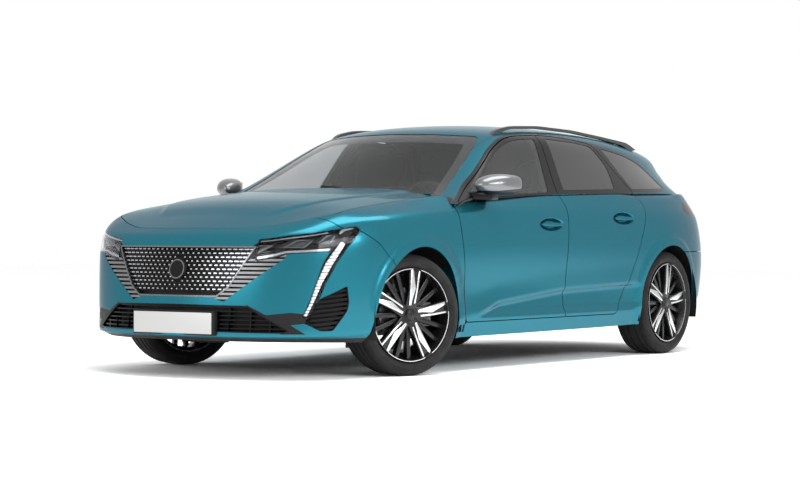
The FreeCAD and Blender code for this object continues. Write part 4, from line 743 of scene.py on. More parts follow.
BONNET_HALF = [
    (1.060, 0), (1.062, .40), (1.068, .762, .02), (1.372, .745), (1.760, .738), (1.912, .722),
    (2.040, .560), (2.117, .404), (2.150, .200), (2.160, 0),
]
BONNET = rounded(BONNET_HALF + [(x, -y, *turn) for x, y, *turn in reversed(BONNET_HALF) if y], .05)
FENDER = rounded([
    (.943, .255, .005), (1.300, .255), (1.640, .600), (1.732, .694), (1.836, .757), (1.934, .773),
    (1.990, .86), (1.960, 1.10), (1.018, 1.10, .01), (1.018, .880), (1.006, .760), (.962, .545),
], .02)
FRONT_BUMPER = rounded([
    (1.640, .595), (1.732, .689), (1.836, .752), (1.937, .768), (1.995, .86), (1.965, 1.15, .01),
    (2.500, 1.150, .01), (2.500, .10, .01), (1.600, .10, .01), (1.600, .545),
], .02)
SIDE_SKIN = rounded([
    (.937, .10), (.937, .258), (.925, .258), (.925, .905), (1.090, .905), (1.090, 1.50),
    (-2.50, 1.50), (-2.50, .637), (-1.45, .637), (-1.45, .10),
], .002)
TAILGATE = rounded(mirror_half([
    (0, .602), (.500, .602, .03), (.560, .650), (.618, .850), (.618, 1.012), (.600, 1.060),
    (.560, 1.150), (.520, 1.240, .02), (.500, 1.330, .02), (0, 1.330),
]), .03)
REAR_SCREEN = rounded(mirror_half([
    (0, 1.020), (.545, 1.030, .03), (.485, 1.150), (.452, 1.222, .03), (0, 1.232),
]), .05)
HEADLAMP = rounded([
    (2.290, .640), (2.262, .686), (2.118, .733), (1.990, .758), (1.856, .781), (1.836, .762, .01),
    (1.928, .667), (1.976, .597), (2.024, .499), (2.054, .410), (2.094, .312, .006),
    (2.116, .316, .006), (2.094, .388), (2.062, .508), (2.036, .598), (2.006, .652), (2.141, .640),
    (2.172, .622), (2.290, .560),
], .012)
GRILLE = rounded(mirror_half([(0, .420), (.262, .420), (.330, .470), (.462, .678), (0, .678)]), .006)
INTAKE = rounded(mirror_half([(0, .246), (.600, .240, .01), (.640, .250), (.432, .378, .01), (0, .382)]), .02)
SIDE_VENT = rounded([
    (1.928, .480), (1.918, .399), (1.926, .354), (1.996, .252), (2.050, .251), (2.110, .292),
    (2.052, .415),
], .01)
TAIL_LAMP = rounded([
    (-1.640, .893), (-1.690, .944), (-1.860, .950), (-2.300, .950), (-2.300, .870), (-1.830, .868),
    (-1.700, .866),
], .012)
BELT_BAND = [
    (1.030, .900), (.624, .930), (.273, .952), (-.093, .972), (-1.001, .997), (-1.348, 1.002), (-1.580, 1.0195),
    (-1.560, 1.060), (-1.0, 1.060), (-.093, 1.040), (.624, 1.020), (.95, 1.000),
]
DIFFUSER = rounded(mirror_half([(0, .10), (.66, .10), (.60, .285), (.42, .345), (0, .345)]), .02)
GRILLE_RIBS = rounded([
    (.330, .480), (.402, .590), (.450, .622), (.620, .644), (.604, .612), (.306, .398), (.250, .410),
], .003)
LAMP_BRIDGE = [(.395, .580), (.440, .679), (.455, .690), (.530, .690), (.530, .640), (.450, .6222)]
INTAKE_FIN = rounded([
    (.428, .385), (.530, .332), (.640, .345), (.712, .336), (.712, .292), (.640, .282), (.700, .236),
    (.590, .236), (.628, .252), (.430, .372),
], .004)
ARCH_RADIUS = 0.3575
LAMP_INNER_Y, TAIL_LAMP_INNER_Y = 0.462, 0.50
NOSE_BACK, NOSE_FRONT = 1.90, 2.40      # how far blocks reach that cut the nose from the front
FIN_BACK = 1.70
ARCH_TOE = [(1.608, .588), (1.660, .548), (1.700, .500), (1.734, .430), (1.764, .340), (1.790, .240),
            (1.806, .150)]


def arch_outline(centre, radius, toe=()):
    """A wheel opening: a round top on sides that run down past the floor, the front one to a line."""
    points = [Vector((centre.x - radius, -0.1))]
    for step in range(33):
        angle = math.pi * (1 - step / 32)
        at = Vector((centre.x + radius * math.cos(angle), centre.z + radius * math.sin(angle)))
        if not toe or at.x < toe[0][0]:
            points.append(at)
    points += [Vector(p) for p in toe]
    return points + [Vector((points[-1].x, -0.1))]


tools = {
    "front_door": side_block(FRONT_DOOR, 0.3),
    "rear_door": side_block(REAR_DOOR, 0.3),
    "front_opening": side_block(grown(FRONT_DOOR, SHUT_GAP)),
    "rear_opening": side_block(grown(REAR_DOOR, SHUT_GAP)),
    "side_glass": side_block(SIDE_GLASS),
    "front_window": side_block(FRONT_WINDOW),
    "rear_window": side_block(REAR_WINDOW),
    "quarter_glass": side_block(QUARTER_GLASS),
    "screen": end_block(SCREEN, 0.10, 1.30),
    "bonnet": plan_block(BONNET, 0.70, 1.20),
    "bonnet_opening": plan_block(grown(BONNET, SHUT_GAP), 0.66, 1.20),
    "fender": side_block(FENDER),
    "front_bumper": side_block(FRONT_BUMPER),
    "side_skin": side_block(SIDE_SKIN),
    "tailgate": end_block(TAILGATE, -2.40, -1.786),
    "tailgate_opening": end_block(grown(TAILGATE, SHUT_GAP), -2.50, -1.772),
    "rear_screen": end_block(REAR_SCREEN, -2.40, -1.86),
    "grille": nose_block(GRILLE),
    "intake": nose_block(INTAKE),
    "front_arches": side_block(arch_outline(front_axle, ARCH_RADIUS, ARCH_TOE)),
    "rear_arches": side_block(arch_outline(rear_axle, ARCH_RADIUS)),
    "rear_bumper": box_block((-2.5, -REACH, 0.10), (-1.45, REACH, 0.632)),
    "roof": box_block((-2.5, -0.59, 1.15), (0.60, 0.59, 1.60)),
    "roof_opening": box_block((-2.5, -0.592, 1.15), (0.60, 0.592, 1.60)),
    "ahead_of_tailgate": box_block((-1.772, -REACH, 0.1), (2.5, REACH, 1.6)),
    "diffuser": end_block(DIFFUSER, -2.50, -2.00),
    "belt_band": side_block(BELT_BAND),
    "front_skirt": box_block((1.55, -REACH, 0.0), (2.5, REACH, 0.2135)),
    "sill_skirt": box_block((-1.10, -REACH, 0.0), (1.10, REACH, 0.2145)),
}
for word, outline, inner_y in (
    ("lamp", HEADLAMP, LAMP_INNER_Y), ("vent", SIDE_VENT, LAMP_INNER_Y), ("tail_lamp", TAIL_LAMP, TAIL_LAMP_INNER_Y),
):
    tools[f"left_{word}"] = side_block(outline, inner_y, REACH)
    tools[f"right_{word}"] = side_block(outline, -REACH, -inner_y)
for word, outline, low in (
    ("ribs", GRILLE_RIBS, NOSE_BACK), ("bridge", LAMP_BRIDGE, NOSE_BACK), ("fin", INTAKE_FIN, FIN_BACK),
):
    tools[f"left_{word}"] = end_block(outline, low, NOSE_FRONT)
    tools[f"right_{word}"] = end_block([(-y, z) for y, z in outline], low, NOSE_FRONT)
lamps, vents, tail_lamps, ribs, bridges, fins = (
    [tools[f"left_{word}"], tools[f"right_{word}"]]
    for word in ("lamp", "vent", "tail_lamp", "ribs", "bridge", "fin")
)
door_openings = [tools["front_opening"], tools["rear_opening"]]

# ---------------------------------------------------------------- painted panels
# Pressed steel skins with shut gaps between them, body colour outside. The bonnet, doors and
# tailgate hang on hinges, the rest is welded or screwed to the shell.

whole_front = [tools["bonnet_opening"], tools["grille"], tools["intake"], *ribs, *bridges, *fins, *lamps, *vents]
bonnet_skin = panel(lower_sheet, [tools["bonnet"]])
finish_piece("bonnet_skin", bonnet_skin, "bonnet", paint, "paint", "bonnet")
front_bumper_skin = panel(
    lower_sheet, [tools["front_bumper"]], [*whole_front, tools["front_arches"], tools["front_skirt"]],
)
finish_piece("front_bumper_skin", front_bumper_skin, "body", paint, "paint", "front_bumper")
fender_skins = panel(
    lower_sheet, [tools["fender"]],
    [tools["bonnet_opening"], *lamps, *vents, tools["front_arches"], tools["front_opening"]],
)
finish_piece("fender_skins", fender_skins, "body", paint, "paint", "front_fenders")
side_lower = panel(lower_sheet, [tools["side_skin"]], [
    *door_openings, tools["fender"], tools["bonnet_opening"], tools["rear_arches"],
    tools["tailgate_opening"], *tail_lamps, tools["sill_skirt"],
])
side_upper = panel(cabin_sheet, [tools["side_skin"]], [
    tools["side_glass"], tools["screen"], tools["tailgate_opening"], tools["roof_opening"],
])
finish_piece("side_skins", join_objects(side_lower, side_upper), "body", paint, "paint", "side_frames")
roof_skin = panel(cabin_sheet, [tools["roof"]], [tools["screen"], tools["tailgate_opening"]])
finish_piece("roof_skin", roof_skin, "body", paint, "paint", "roof_panel")
rear_bumper_skin = panel(
    lower_sheet, [tools["rear_bumper"]], [tools["rear_arches"], tools["tailgate_opening"], tools["diffuser"]],
)
finish_piece("rear_bumper_skin", rear_bumper_skin, "body", paint, "paint", "rear_bumper")
tail_lower = panel(lower_sheet, [tools["tailgate"]], tail_lamps)
tail_upper = panel(cabin_sheet, [tools["tailgate"]], [tools["rear_screen"]])
finish_piece("tailgate_skin", join_objects(tail_lower, tail_upper), "tailgate", paint, "paint", "tailgate")

# ---------------------------------------------------------------- inner panels and jambs
# The shell behind the skins: painted sills, posts and door jambs, the bonnet's ribbed inner panel,
# and the tailgate's moulded lining. It shows round the edges when a door or lid is open.

trim_grey = new_material("trim_grey", (0.035, 0.036, 0.038), 0.75)
bump(trim_grey, noise(trim_grey, 900.0, stretch=(1, 1, 0.4)), 0.0003)
vary(trim_grey, noise(trim_grey, 6.0), "Base Color", (0.030, 0.031, 0.033), (0.042, 0.043, 0.045))


def backed(tool, plane):
    """The solid behind the left side's skin, back to an upright plane, kept inside a block."""
    part = near_faces(lower_sheet, [tool])
    sink(part, SKIN + 0.0005)
    pushed = bmesh.ops.extrude_face_region(part, geom=part.faces[:])["geom"]
    for vertex in [g for g in pushed if isinstance(g, bmesh.types.BMVert)]:
        vertex.co.y = plane
    bmesh.ops.recalc_face_normals(part, faces=part.faces)
    return mesh_object("backed", part)


JAMB_INSIDE = 0.735
jamb_space = box_block((-1.10, 0.70, .205), (1.06, 1.3, 1.10))
wheel_room = [side_block(arch_outline(axle, 0.372)) for axle in (front_axle, rear_axle)]
jamb = carve(backed(jamb_space, JAMB_INSIDE), [jamb_space], [*door_openings, *wheel_room])
lower_jambs = join_objects(jamb, mirrored_copy(jamb))
finish_piece("door_jambs", lower_jambs, "body", paint, "paint")
LINING_DEPTH = 0.034
cabin_inside = box_block((-1.80, -REACH, 0.90), (1.20, REACH, 1.60))
window_edge = [tools["front_window"], tools["rear_window"], tools["quarter_glass"]]
lining = panel(
    cabin_sheet, [cabin_inside], [*door_openings, *window_edge, end_block(grown(SCREEN, -0.02), 0.10, 1.30),
                                  tools["tailgate_opening"]],
    depth=SKIN + 0.003, thickness=LINING_DEPTH,
)
finish_piece("headlining", lining, "body", trim_grey)
tail_shell = box_block((-2.50, -REACH, 0.636), (-1.60, REACH, 1.02))
tail_jamb = panel(lower_sheet, [tail_shell], [tools["tailgate_opening"], tools["ahead_of_tailgate"]],
                  depth=SKIN + 0.0005, thickness=0.04)
finish_piece("tailgate_jambs", tail_jamb, "body", black_plastic)
bonnet_inner = panel(lower_sheet, [plan_block(grown(BONNET, -0.012), 0.70, 1.20)], depth=SKIN + 0.0003,
                     thickness=0.016)
finish_piece("bonnet_inner_panel", bonnet_inner, "bonnet", black_plastic, "primed_steel")
tail_inside = end_block(grown(TAILGATE, -0.006), -2.40, -1.800)
glass_edge = end_block(grown(REAR_SCREEN, -0.012), -2.40, -1.86)
tail_lining = join_objects(
    panel(lower_sheet, [tail_inside], [], depth=SKIN + 0.0003, thickness=0.045),
    panel(cabin_sheet, [tail_inside], [glass_edge], depth=SKIN + 0.0045, thickness=0.030),
)
finish_piece("tailgate_lining", tail_lining, "tailgate", trim_grey)

# ---------------------------------------------------------------- glass
# Laminated windscreen and clear front door windows, dark privacy glass behind, all with a black
# printed border, bonded flush into the openings. The windscreen's border is a lighter grey than its
# black print: a painted sheen.

glass = finish("glass", (0.58, 0.60, 0.61), 0.0, worn=(3.0, 0.0, 0.01), Transmission_Weight=1.0, IOR=1.2)
door_glass = finish("door_glass", (0.58, 0.60, 0.61), 0.0, worn=(3.0, 0.0, 0.01), Transmission_Weight=1.0,
                    IOR=1.36)
dark_glass = finish("dark_glass", (0.012, 0.013, 0.014), 0.03, worn=(3.0, 0.015, 0.035),
                    Transmission_Weight=0.6, IOR=1.58)
GLASS_SINK, GLASS_THICKNESS, BORDER = 0.002, 0.004, 0.034


def glazed(inside, outside=()):
    return panel(cabin_sheet, inside, outside, depth=GLASS_SINK, thickness=GLASS_THICKNESS)


def border(inside, inner):
    return panel(cabin_sheet, inside, [inner], depth=GLASS_SINK + GLASS_THICKNESS + 0.0003, thickness=0.0012)


finish_piece("windscreen_glass", glazed([tools["screen"]]), "body", glass, "glass", "windscreen")
# Black print lifted to a lighter grey: the lift is a painted sheen, not the print's own colour.
frit = finish("frit", (0.045, 0.046, 0.048), 0.4, worn=(40.0, 0.35, 0.5))
finish_piece("windscreen_border", border([tools["screen"]], end_block(grown(SCREEN, -0.052), 0.1, 1.3)),
             "body", frit)
finish_piece("quarter_glass", glazed([tools["quarter_glass"]]), "body", dark_glass, "dark_glass",
             "quarter_windows")
finish_piece("rear_screen_glass", glazed([tools["rear_screen"]]), "tailgate", dark_glass, "dark_glass",
             "tailgate_window")
finish_piece("rear_screen_border", border([tools["rear_screen"]], end_block(grown(REAR_SCREEN, -BORDER), -2.4, -1.8)),
             "tailgate", black_gloss)

# ---------------------------------------------------------------- doors
# Steel leaf with a hollow window frame in black gloss, a moulded card inside with an armrest,
# and a flush flap handle over a pressed cup.

door_card = finish("door_card", (0.022, 0.022, 0.024), 0.6, worn=(5.0, 0.5, 0.72), grain=(700.0, 0.0004))
CARD_PLANE, LEAF_INSIDE, CARD_TOP = 0.748, 0.787, 0.955
ARMRESTS = {"front": (-.02, .62), "rear": (-.88, -.30)}


def copy_of(obj):
    return place(bpy.data.objects.new("copy", obj.data.copy()))


def fit_both_sides(pieces, body):
    """Finishes left-hand pieces and their twins on each side's body; {} stands for the side."""
    for side in ("left", "right"):
        for name, (made, material, slot, *stands_for) in pieces.items():
            if side == "right":
                made = mirrored_copy(made)
            finish_piece(name.format(side), made, body.format(side), material, slot,
                         *[node.format(side) for node in stands_for])


def bevelled(obj, width, segments=2, angle=40):
    """Rounds a solid's edges that are sharper than an angle."""
    work = bmesh.new()
    work.from_mesh(obj.data)
    bmesh.ops.remove_doubles(work, verts=work.verts, dist=1e-5)
    edges = [e for e in work.edges if e.calc_face_angle(0) > math.radians(angle)]
    bmesh.ops.bevel(work, geom=edges, offset=width, segments=segments, profile=0.5, affect="EDGES",
                    offset_type="OFFSET", material=-1, clamp_overlap=True)
    work.to_mesh(obj.data)
    work.free()
    return obj


def on_skin(x, z, y_from=1.2):
    """The place on the lower body's left side at an x and z."""
    return lower_sheet.ray_cast((x, y_from, z), (0, -1, 0))[1]


def handle(x, z):
    """A flap that bridges the cup, seen from the side as a slim rounded bar."""
    half, tall, stand = HANDLE_HALF[0] * 0.92, 0.0115, 0.006
    rim = [on_skin(x + way * HANDLE_HALF[0] * 1.12, z).y for way in (-1, 1)]
    outline = rounded([(x - half, z - tall * .5), (x - half * .3, z - tall), (x + half * .8, z - tall * .8),
                       (x + half, z), (x + half * .8, z + tall * .8), (x - half * .3, z + tall),
                       (x - half, z + tall * .5)], 0.008, 3)
    places = []
    for px, pz in outline:
        share = (px - x + half) / (2 * half)
        places.append((px, rim[0] + (rim[1] - rim[0]) * share - 0.010, pz))
    return bevelled(prism(places, (0, 0.010 + stand, 0)), 0.005, 3)


for word, window_material, window_slot in (("front", door_glass, "glass"), ("rear", dark_glass, "dark_glass")):
    outline = FRONT_DOOR if word == "front" else REAR_DOOR
    door_tool, window_tool = tools[f"{word}_door"], tools[f"{word}_window"]
    leaf_block = side_block(grown(outline, -0.004), 0.70)
    leaf = carve(backed(leaf_block, LEAF_INSIDE), [leaf_block])
    frame_space = side_block(grown(outline, -0.014), 0.3)
    frame_inner = panel(cabin_sheet, [frame_space], [window_tool], depth=SKIN + 0.0003, thickness=0.026)
    card = carve(side_block(grown(outline, -0.018), CARD_PLANE, LEAF_INSIDE - 0.0005),
                 [box_block((-2, 0.5, 0.1), (2, 1, CARD_TOP))])
    low_x, high_x = ARMRESTS[word]
    armrest = side_block(rounded([(low_x, .62), (low_x + .04, .70), (high_x - .1, .70), (high_x, .66),
                                  (high_x - .05, .60), (low_x + .1, .58)], .03), CARD_PLANE - 0.055, CARD_PLANE)
    pocket = side_block(rounded([(low_x + .06, .36), (low_x + .04, .47), (high_x - .08, .47), (high_x - .1, .36)],
                                .03), CARD_PLANE - 0.035, CARD_PLANE)
    door = "{}_" + word + "_door"
    pieces = {
        "skin": (panel(lower_sheet, [door_tool]), paint, "paint", door),
        "leaf": (leaf, paint, "paint"),
        "frame": (panel(cabin_sheet, [door_tool], [window_tool]), black_gloss, "black_plastic"),
        "frame_inner": (frame_inner, trim_grey, "black_plastic"),
        "glass": (glazed([door_tool, window_tool]), window_material, window_slot, "{}_" + word + "_window"),
        "card": (bevelled(card, 0.012), door_card, "black_plastic"),
        "armrest": (bevelled(armrest, 0.014), trim_grey, "black_plastic"),
        "pocket": (bevelled(pocket, 0.010), trim_grey, "black_plastic"),
        "handle": (handle(*HANDLES[word]), paint, "paint"),
    }
    if word == "front":
        pieces["belt_trim"] = (moulding([door_tool, tools["belt_band"]]), black_gloss, "black_plastic")
    fit_both_sides({f"{door}_{what}": piece for what, piece in pieces.items()}, door)

# ---------------------------------------------------------------- headlamps
# Slim black lamp units with a clear cover: three projector modules, a bright lower blade, and a
# segmented daytime lamp that runs down to the side vent.

lamp_cover = finish("lamp_cover", (0.86, 0.88, 0.90), 0.01, worn=(4.0, 0.008, 0.02), Transmission_Weight=1.0,
                    IOR=1.18)
lamp_black = new_material("lamp_black", (0.008, 0.008, 0.009), 0.3, Specular_IOR_Level=0.25)
bump(lamp_black, noise(lamp_black, 300.0, stretch=(1, 1, 6)), 0.0004)
vary(lamp_black, noise(lamp_black, 30.0), "Roughness", 0.2, 0.4)
lamp_light = finish("lamp_light", (0.85, 0.86, 0.88), 0.25, worn=(120.0, 0.2, 0.35),
                    Emission_Color=(1, 1, 1, 1), Emission_Strength=0.35)
lamp_lens = finish("lamp_lens", (0.05, 0.052, 0.055), 0.05, 0.3, worn=(90.0, 0.03, 0.14), stretch=(1, 1, 8),
                   Coat_Weight=0.6)
bright_metal = finish("bright_metal", (0.46, 0.465, 0.48), 0.22, 1.0, worn=(80.0, 0.18, 0.32),
                      stretch=(1, 1, 5))
satin_metal = finish("satin_metal", (0.19, 0.195, 0.20), 0.34, 0.9, worn=(90.0, 0.3, 0.46), stretch=(1, 0.2, 4))
dark_chrome = finish("dark_chrome", (0.16, 0.165, 0.17), 0.25, 0.9, worn=(60.0, 0.2, 0.34))
HOUSING_DEPTH = 0.040
DAYTIME_STRIP = rounded([
    (1.930, .690), (1.962, .640), (1.996, .583), (2.037, .495), (2.066, .408), (2.094, .328),
    (2.101, .328), (2.081, .386), (2.050, .505), (2.018, .593), (1.984, .648), (1.944, .700),
], .004, 2)
LOWER_BLADE = [(1.995, .668), (2.141, .654), (2.176, .635), (2.290, .582), (2.290, .570), (2.172, .626),
               (2.141, .644), (2.004, .655)]
TIP_BLADE = [(1.866, .772), (1.925, .763), (1.944, .742), (1.938, .738), (1.914, .756), (1.868, .766)]
UPPER_BLADE = [(1.985, .752), (2.118, .722), (2.210, .694), (2.208, .688), (2.118, .715), (1.985, .744)]
MODULES = [
    [(2.252, .640), (2.212, .672), (2.166, .680), (2.200, .644)],
    [(2.140, .672), (2.100, .704), (2.056, .710), (2.092, .674)],
    [(2.038, .694), (1.996, .728), (1.968, .732), (1.996, .696)],
]


def both(obj):
    """A left-hand piece together with its twin on the right."""
    return join_objects(obj, mirrored_copy(obj))


def lamp_part(outline, depth, thickness, outside=()):
    """A part of the left lamp cut to a side outline, at a depth under the cover."""
    shape = side_block(outline, LAMP_INNER_Y, REACH)
    return panel(lower_sheet, [tools["left_lamp"], shape], outside, depth, thickness)


finish_piece("headlamp_covers", both(panel(lower_sheet, [tools["left_lamp"]], depth=0.0005, thickness=0.0025)),
             "body", lamp_cover, "headlamp", "headlamps")
lamp_well = side_block(grown(HEADLAMP, -0.003), LAMP_INNER_Y + 0.003, REACH)
housing = join_objects(
    panel(lower_sheet, [tools["left_lamp"]], depth=HOUSING_DEPTH, thickness=0.004),
    panel(lower_sheet, [tools["left_lamp"]], [lamp_well], depth=0.0034, thickness=HOUSING_DEPTH - 0.003),
)
finish_piece("headlamp_housings", both(housing), "body", lamp_black)
slits = join_objects(*[side_block([(1.90, z), (2.14, z - .030), (2.14, z - .0265), (1.90, z + .0035)])
                       for z in [0.330 + 0.0165 * n for n in range(21)]])
finish_piece("daytime_lamps", both(lamp_part(DAYTIME_STRIP, 0.006, 0.006, [slits])), "body", lamp_light, "headlamp")
blades = join_objects(lamp_part(LOWER_BLADE, 0.010, 0.008), lamp_part(TIP_BLADE, 0.010, 0.006),
                      lamp_part(UPPER_BLADE, 0.012, 0.006))
finish_piece("headlamp_blades", both(blades), "body", bright_metal, "headlamp")
frames = join_objects(*[
    lamp_part(grown([Vector(p) for p in module], 0.005), 0.010, 0.020,
              [side_block([Vector(p) for p in module], LAMP_INNER_Y - .1, REACH)])
    for module in MODULES
])
finish_piece("headlamp_module_frames", both(frames), "body", satin_metal, "headlamp")
lenses = join_objects(*[lamp_part(module, 0.018, 0.007) for module in MODULES])
finish_piece("headlamp_module_lenses", both(lenses), "body", lamp_lens, "headlamp")

# ---------------------------------------------------------------- grille
# Black moulded grille with eleven rows of bright dashes that grow towards the sides, a dark chrome
# frame, ribbed bright wings at both lower sides, and a plain round cap in the middle.

GRILLE_ROWS, ROW_PITCH, FIRST_ROW = 11, 0.0203, 0.4585
DASH_PITCH, DASH_HEIGHT = 0.0335, 0.0062


def grille_backing(tool, depth):
    return panel(lower_sheet, [tool], depth=depth, thickness=0.004)


def bar(y, z, half_length, half_height, shear=0.0):
    """A short block across the nose, pushed through from front to back."""
    return nose_block([(y - half_length, z - half_height - shear), (y + half_length, z - half_height + shear),
                      (y + half_length, z + half_height + shear), (y - half_length, z + half_height - shear)])


dashes = []
for row in range(GRILLE_ROWS):
    z = FIRST_ROW + row * ROW_PITCH
    stagger = DASH_PITCH / 2 if row % 2 else 0.0
    for step in range(-14, 15):
        y = step * DASH_PITCH + stagger
        if math.hypot(y, (z - 0.560) * 0.9) > 0.062:
            dashes.append(bar(y, z, 0.0040 + 0.0105 * min(abs(y) / 0.40, 1) ** 1.3, DASH_HEIGHT / 2))
mesh_inside = nose_block(grown(GRILLE, -0.012))
finish_piece("grille_dashes", panel(lower_sheet, [mesh_inside, join_objects(*dashes)], depth=0.012, thickness=0.010),
             "body", bright_metal, "rail_metal", "grille")
grid_bars = join_objects(*[bar(0, FIRST_ROW + (row - 0.5) * ROW_PITCH, 0.50, 0.0028)
                           for row in range(GRILLE_ROWS + 1)])
finish_piece("grille_bars", panel(lower_sheet, [mesh_inside, grid_bars], depth=0.018, thickness=0.014),
             "body", black_gloss)
finish_piece("grille_backing", grille_backing(tools["grille"], 0.036), "body", black_plastic)
grille_frame = panel(lower_sheet, [tools["grille"]], [nose_block(grown(GRILLE, -0.0075))],
                     depth=0.0, thickness=0.040)
finish_piece("grille_frame", grille_frame, "body", dark_chrome, "rail_metal")
rib_slits = join_objects(*[bar(0, 0.404 + 0.0215 * n, 0.80, 0.0050) for n in range(12)])
wings = panel(lower_sheet, [tools["left_ribs"]], [rib_slits, tools["grille"], *lamps], depth=0.0015, thickness=0.014)
finish_piece("grille_wings", both(wings), "body", satin_metal, "rail_metal")
wing_backs = panel(lower_sheet, [tools["left_ribs"]], [tools["grille"], *lamps], depth=0.0160, thickness=0.004)
finish_piece("grille_wing_backs", both(wing_backs), "body", black_plastic)
bridge = panel(lower_sheet, [tools["left_bridge"]], [tools["grille"], *ribs, *lamps], depth=0.003, thickness=0.02)
finish_piece("lamp_bridges", both(bridge), "body", black_gloss)


def ring_outline(y, z, radius, count=40):
    return [Vector((y + radius * math.cos(math.tau * n / count), z + radius * math.sin(math.tau * n / count)))
            for n in range(count)]


CAP_Z, CAP_RADIUS = 0.560, 0.050
cap_tool = nose_block(ring_outline(0, CAP_Z, CAP_RADIUS - 0.006))
cap_ring = nose_block(ring_outline(0, CAP_Z, CAP_RADIUS))
finish_piece("grille_cap", panel(lower_sheet, [cap_tool], depth=-0.001, thickness=0.030), "body", black_gloss)
finish_piece("grille_cap_ring", panel(lower_sheet, [cap_ring], [cap_tool], depth=-0.003, thickness=0.032), "body",
             dark_chrome, "rail_metal")

# ---------------------------------------------------------------- lower intake and skirt
# Slatted black intake with a blank plate on its holder, black fins that lead to the ribbed side
# vents, and a black skirt under the painted lip. All are moulded plastic clipped to the bumper.

plate_white = finish("plate_white", (0.62, 0.62, 0.61), 0.35, worn=(25.0, 0.28, 0.42))
intake_slats = join_objects(*[bar(0, 0.262 + 0.0215 * n, 0.70, 0.0034) for n in range(6)])
braces = join_objects(*[bar(way * y, 0.31, 0.0035, 0.10) for way in (-1, 1) for y in (0.335, 0.445, 0.540)])
intake_rim = panel(lower_sheet, [tools["intake"]], [nose_block(grown(INTAKE, -0.006))],
                   depth=0.001, thickness=0.042)
intake_grid = join_objects(
    panel(lower_sheet, [tools["intake"], intake_slats], depth=0.010, thickness=0.026),
    panel(lower_sheet, [tools["intake"], braces], depth=0.014, thickness=0.020), intake_rim,
)
finish_piece("intake_grid", intake_grid, "body", black_gloss)
finish_piece("intake_backing", grille_backing(tools["intake"], 0.044), "body", black_plastic)
fin = panel(lower_sheet, [tools["left_fin"]], [tools["intake"], *lamps, *vents], depth=0.0, thickness=0.008)
finish_piece("intake_fins", both(fin), "body", black_plastic)
vent_slits = join_objects(*[side_block([(1.85, z), (2.15, z - .035), (2.15, z - .025), (1.85, z + .010)])
                            for z in [0.270 + 0.0225 * n for n in range(12)]])
vent_ribs = join_objects(
    panel(lower_sheet, [tools["left_vent"]], [vent_slits, *lamps, *fins], depth=0.006, thickness=0.016),
    panel(lower_sheet, [tools["left_vent"]], [side_block(grown(SIDE_VENT, -0.004)), *lamps, *fins],
          depth=0.0, thickness=0.030),
)
finish_piece("vent_ribs", both(vent_ribs), "body", black_gloss)
vent_backs = panel(lower_sheet, [tools["left_vent"]], [*lamps, *fins], depth=0.0280, thickness=0.004)
finish_piece("vent_backs", both(vent_backs), "body", black_plastic)
front_skirt = panel(lower_sheet, [tools["front_skirt"]], [tools["front_arches"]], depth=0.001, thickness=0.006)
finish_piece("front_skirt", front_skirt, "body", black_plastic)
sill_skirts = panel(lower_sheet, [tools["sill_skirt"]], [tools["front_arches"], tools["rear_arches"]],
                    depth=0.0, thickness=0.006)
finish_piece("sill_skirts", sill_skirts, "body", paint, "paint")
PLATE_HALF, PLATE_LOW, PLATE_HIGH = 0.260, 0.232, 0.340
plate = rounded_box((2.3095, -PLATE_HALF, PLATE_LOW), (2.3165, PLATE_HALF, PLATE_HIGH), 0.003)
finish_piece("front_plate", plate, "body", plate_white)
holder = rounded_box((2.275, -PLATE_HALF - .012, PLATE_LOW - .008),
                     (2.3090, PLATE_HALF + .012, PLATE_HIGH + .010), 0.005)
finish_piece("front_plate_holder", holder, "body", black_plastic)

# ---------------------------------------------------------------- tail lamps, tailgate trim and diffuser
# Smoked wraparound lamps, split where the tailgate opens, with a black band between them, a blank
# plate, a high brake lamp, and a black diffuser under the bumper.

smoked_cover = finish("smoked_cover", (0.10, 0.045, 0.045), 0.03, worn=(4.0, 0.02, 0.04),
                      Transmission_Weight=0.9, IOR=1.14)
lamp_red = finish("lamp_red", (0.34, 0.004, 0.004), 0.3, worn=(150.0, 0.2, 0.35), Specular_IOR_Level=0.2)
claws = join_objects(*[side_block([(-2.32 + .10 * n, .885), (-2.28 + .10 * n, .885), (-2.24 + .10 * n, .937),
                                   (-2.28 + .10 * n, .937)], 0.45) for n in range(5)])
tail_well = side_block(grown(TAIL_LAMP, -0.003), 0.503, REACH)
tailgate_glow = end_block(grown(TAILGATE, -0.012), -2.40, -1.786)
body_glow = end_block(grown(TAILGATE, 0.018), -2.50, -1.772)
for owner, keep, cut, glow_keep, glow_cut in (
    ("tailgate", [tools["tailgate"]], [], [tailgate_glow], []),
    ("body", [], [tools["tailgate_opening"]], [], [body_glow]),
):
    lamp = [tools["left_tail_lamp"], *keep]
    cover = panel(lower_sheet, lamp, cut, depth=0.0002, thickness=0.0025)
    well = join_objects(panel(lower_sheet, lamp, cut, depth=0.026, thickness=0.004),
                        panel(lower_sheet, lamp, [*cut, tail_well], depth=0.003, thickness=0.024))
    glow = panel(lower_sheet, [tools["left_tail_lamp"], claws, *glow_keep], glow_cut, depth=0.008, thickness=0.008)
    finish_piece(f"{owner}_tail_lamp_covers", both(cover), owner, smoked_cover, "tail_lamp",
                 *(["tail_lamps"] if owner == "body" else []))
    finish_piece(f"{owner}_tail_lamp_housings", both(well), owner, lamp_black)
    finish_piece(f"{owner}_tail_lamp_claws", both(glow), owner, lamp_red, "tail_lamp")
band = moulding([tools["tailgate"], box_block((-2.5, -.499, .876), (-1.8, .499, .944))])
finish_piece("tailgate_band", band, "tailgate", black_gloss)
finish_piece("diffuser", panel(lower_sheet, [tools["diffuser"]], [tools["tailgate_opening"]], depth=0.001,
                               thickness=0.006), "body", black_plastic)
blades = join_objects(*[
    bevelled(prism([(-2.20, y - .004, .225), (-2.20, y + .004, .225), (-2.288, y + .004, .285),
                    (-2.288, y - .004, .285)], (0, 0, .05)), .002)
    for y in (-.36, -.18, 0, .18, .36)
])
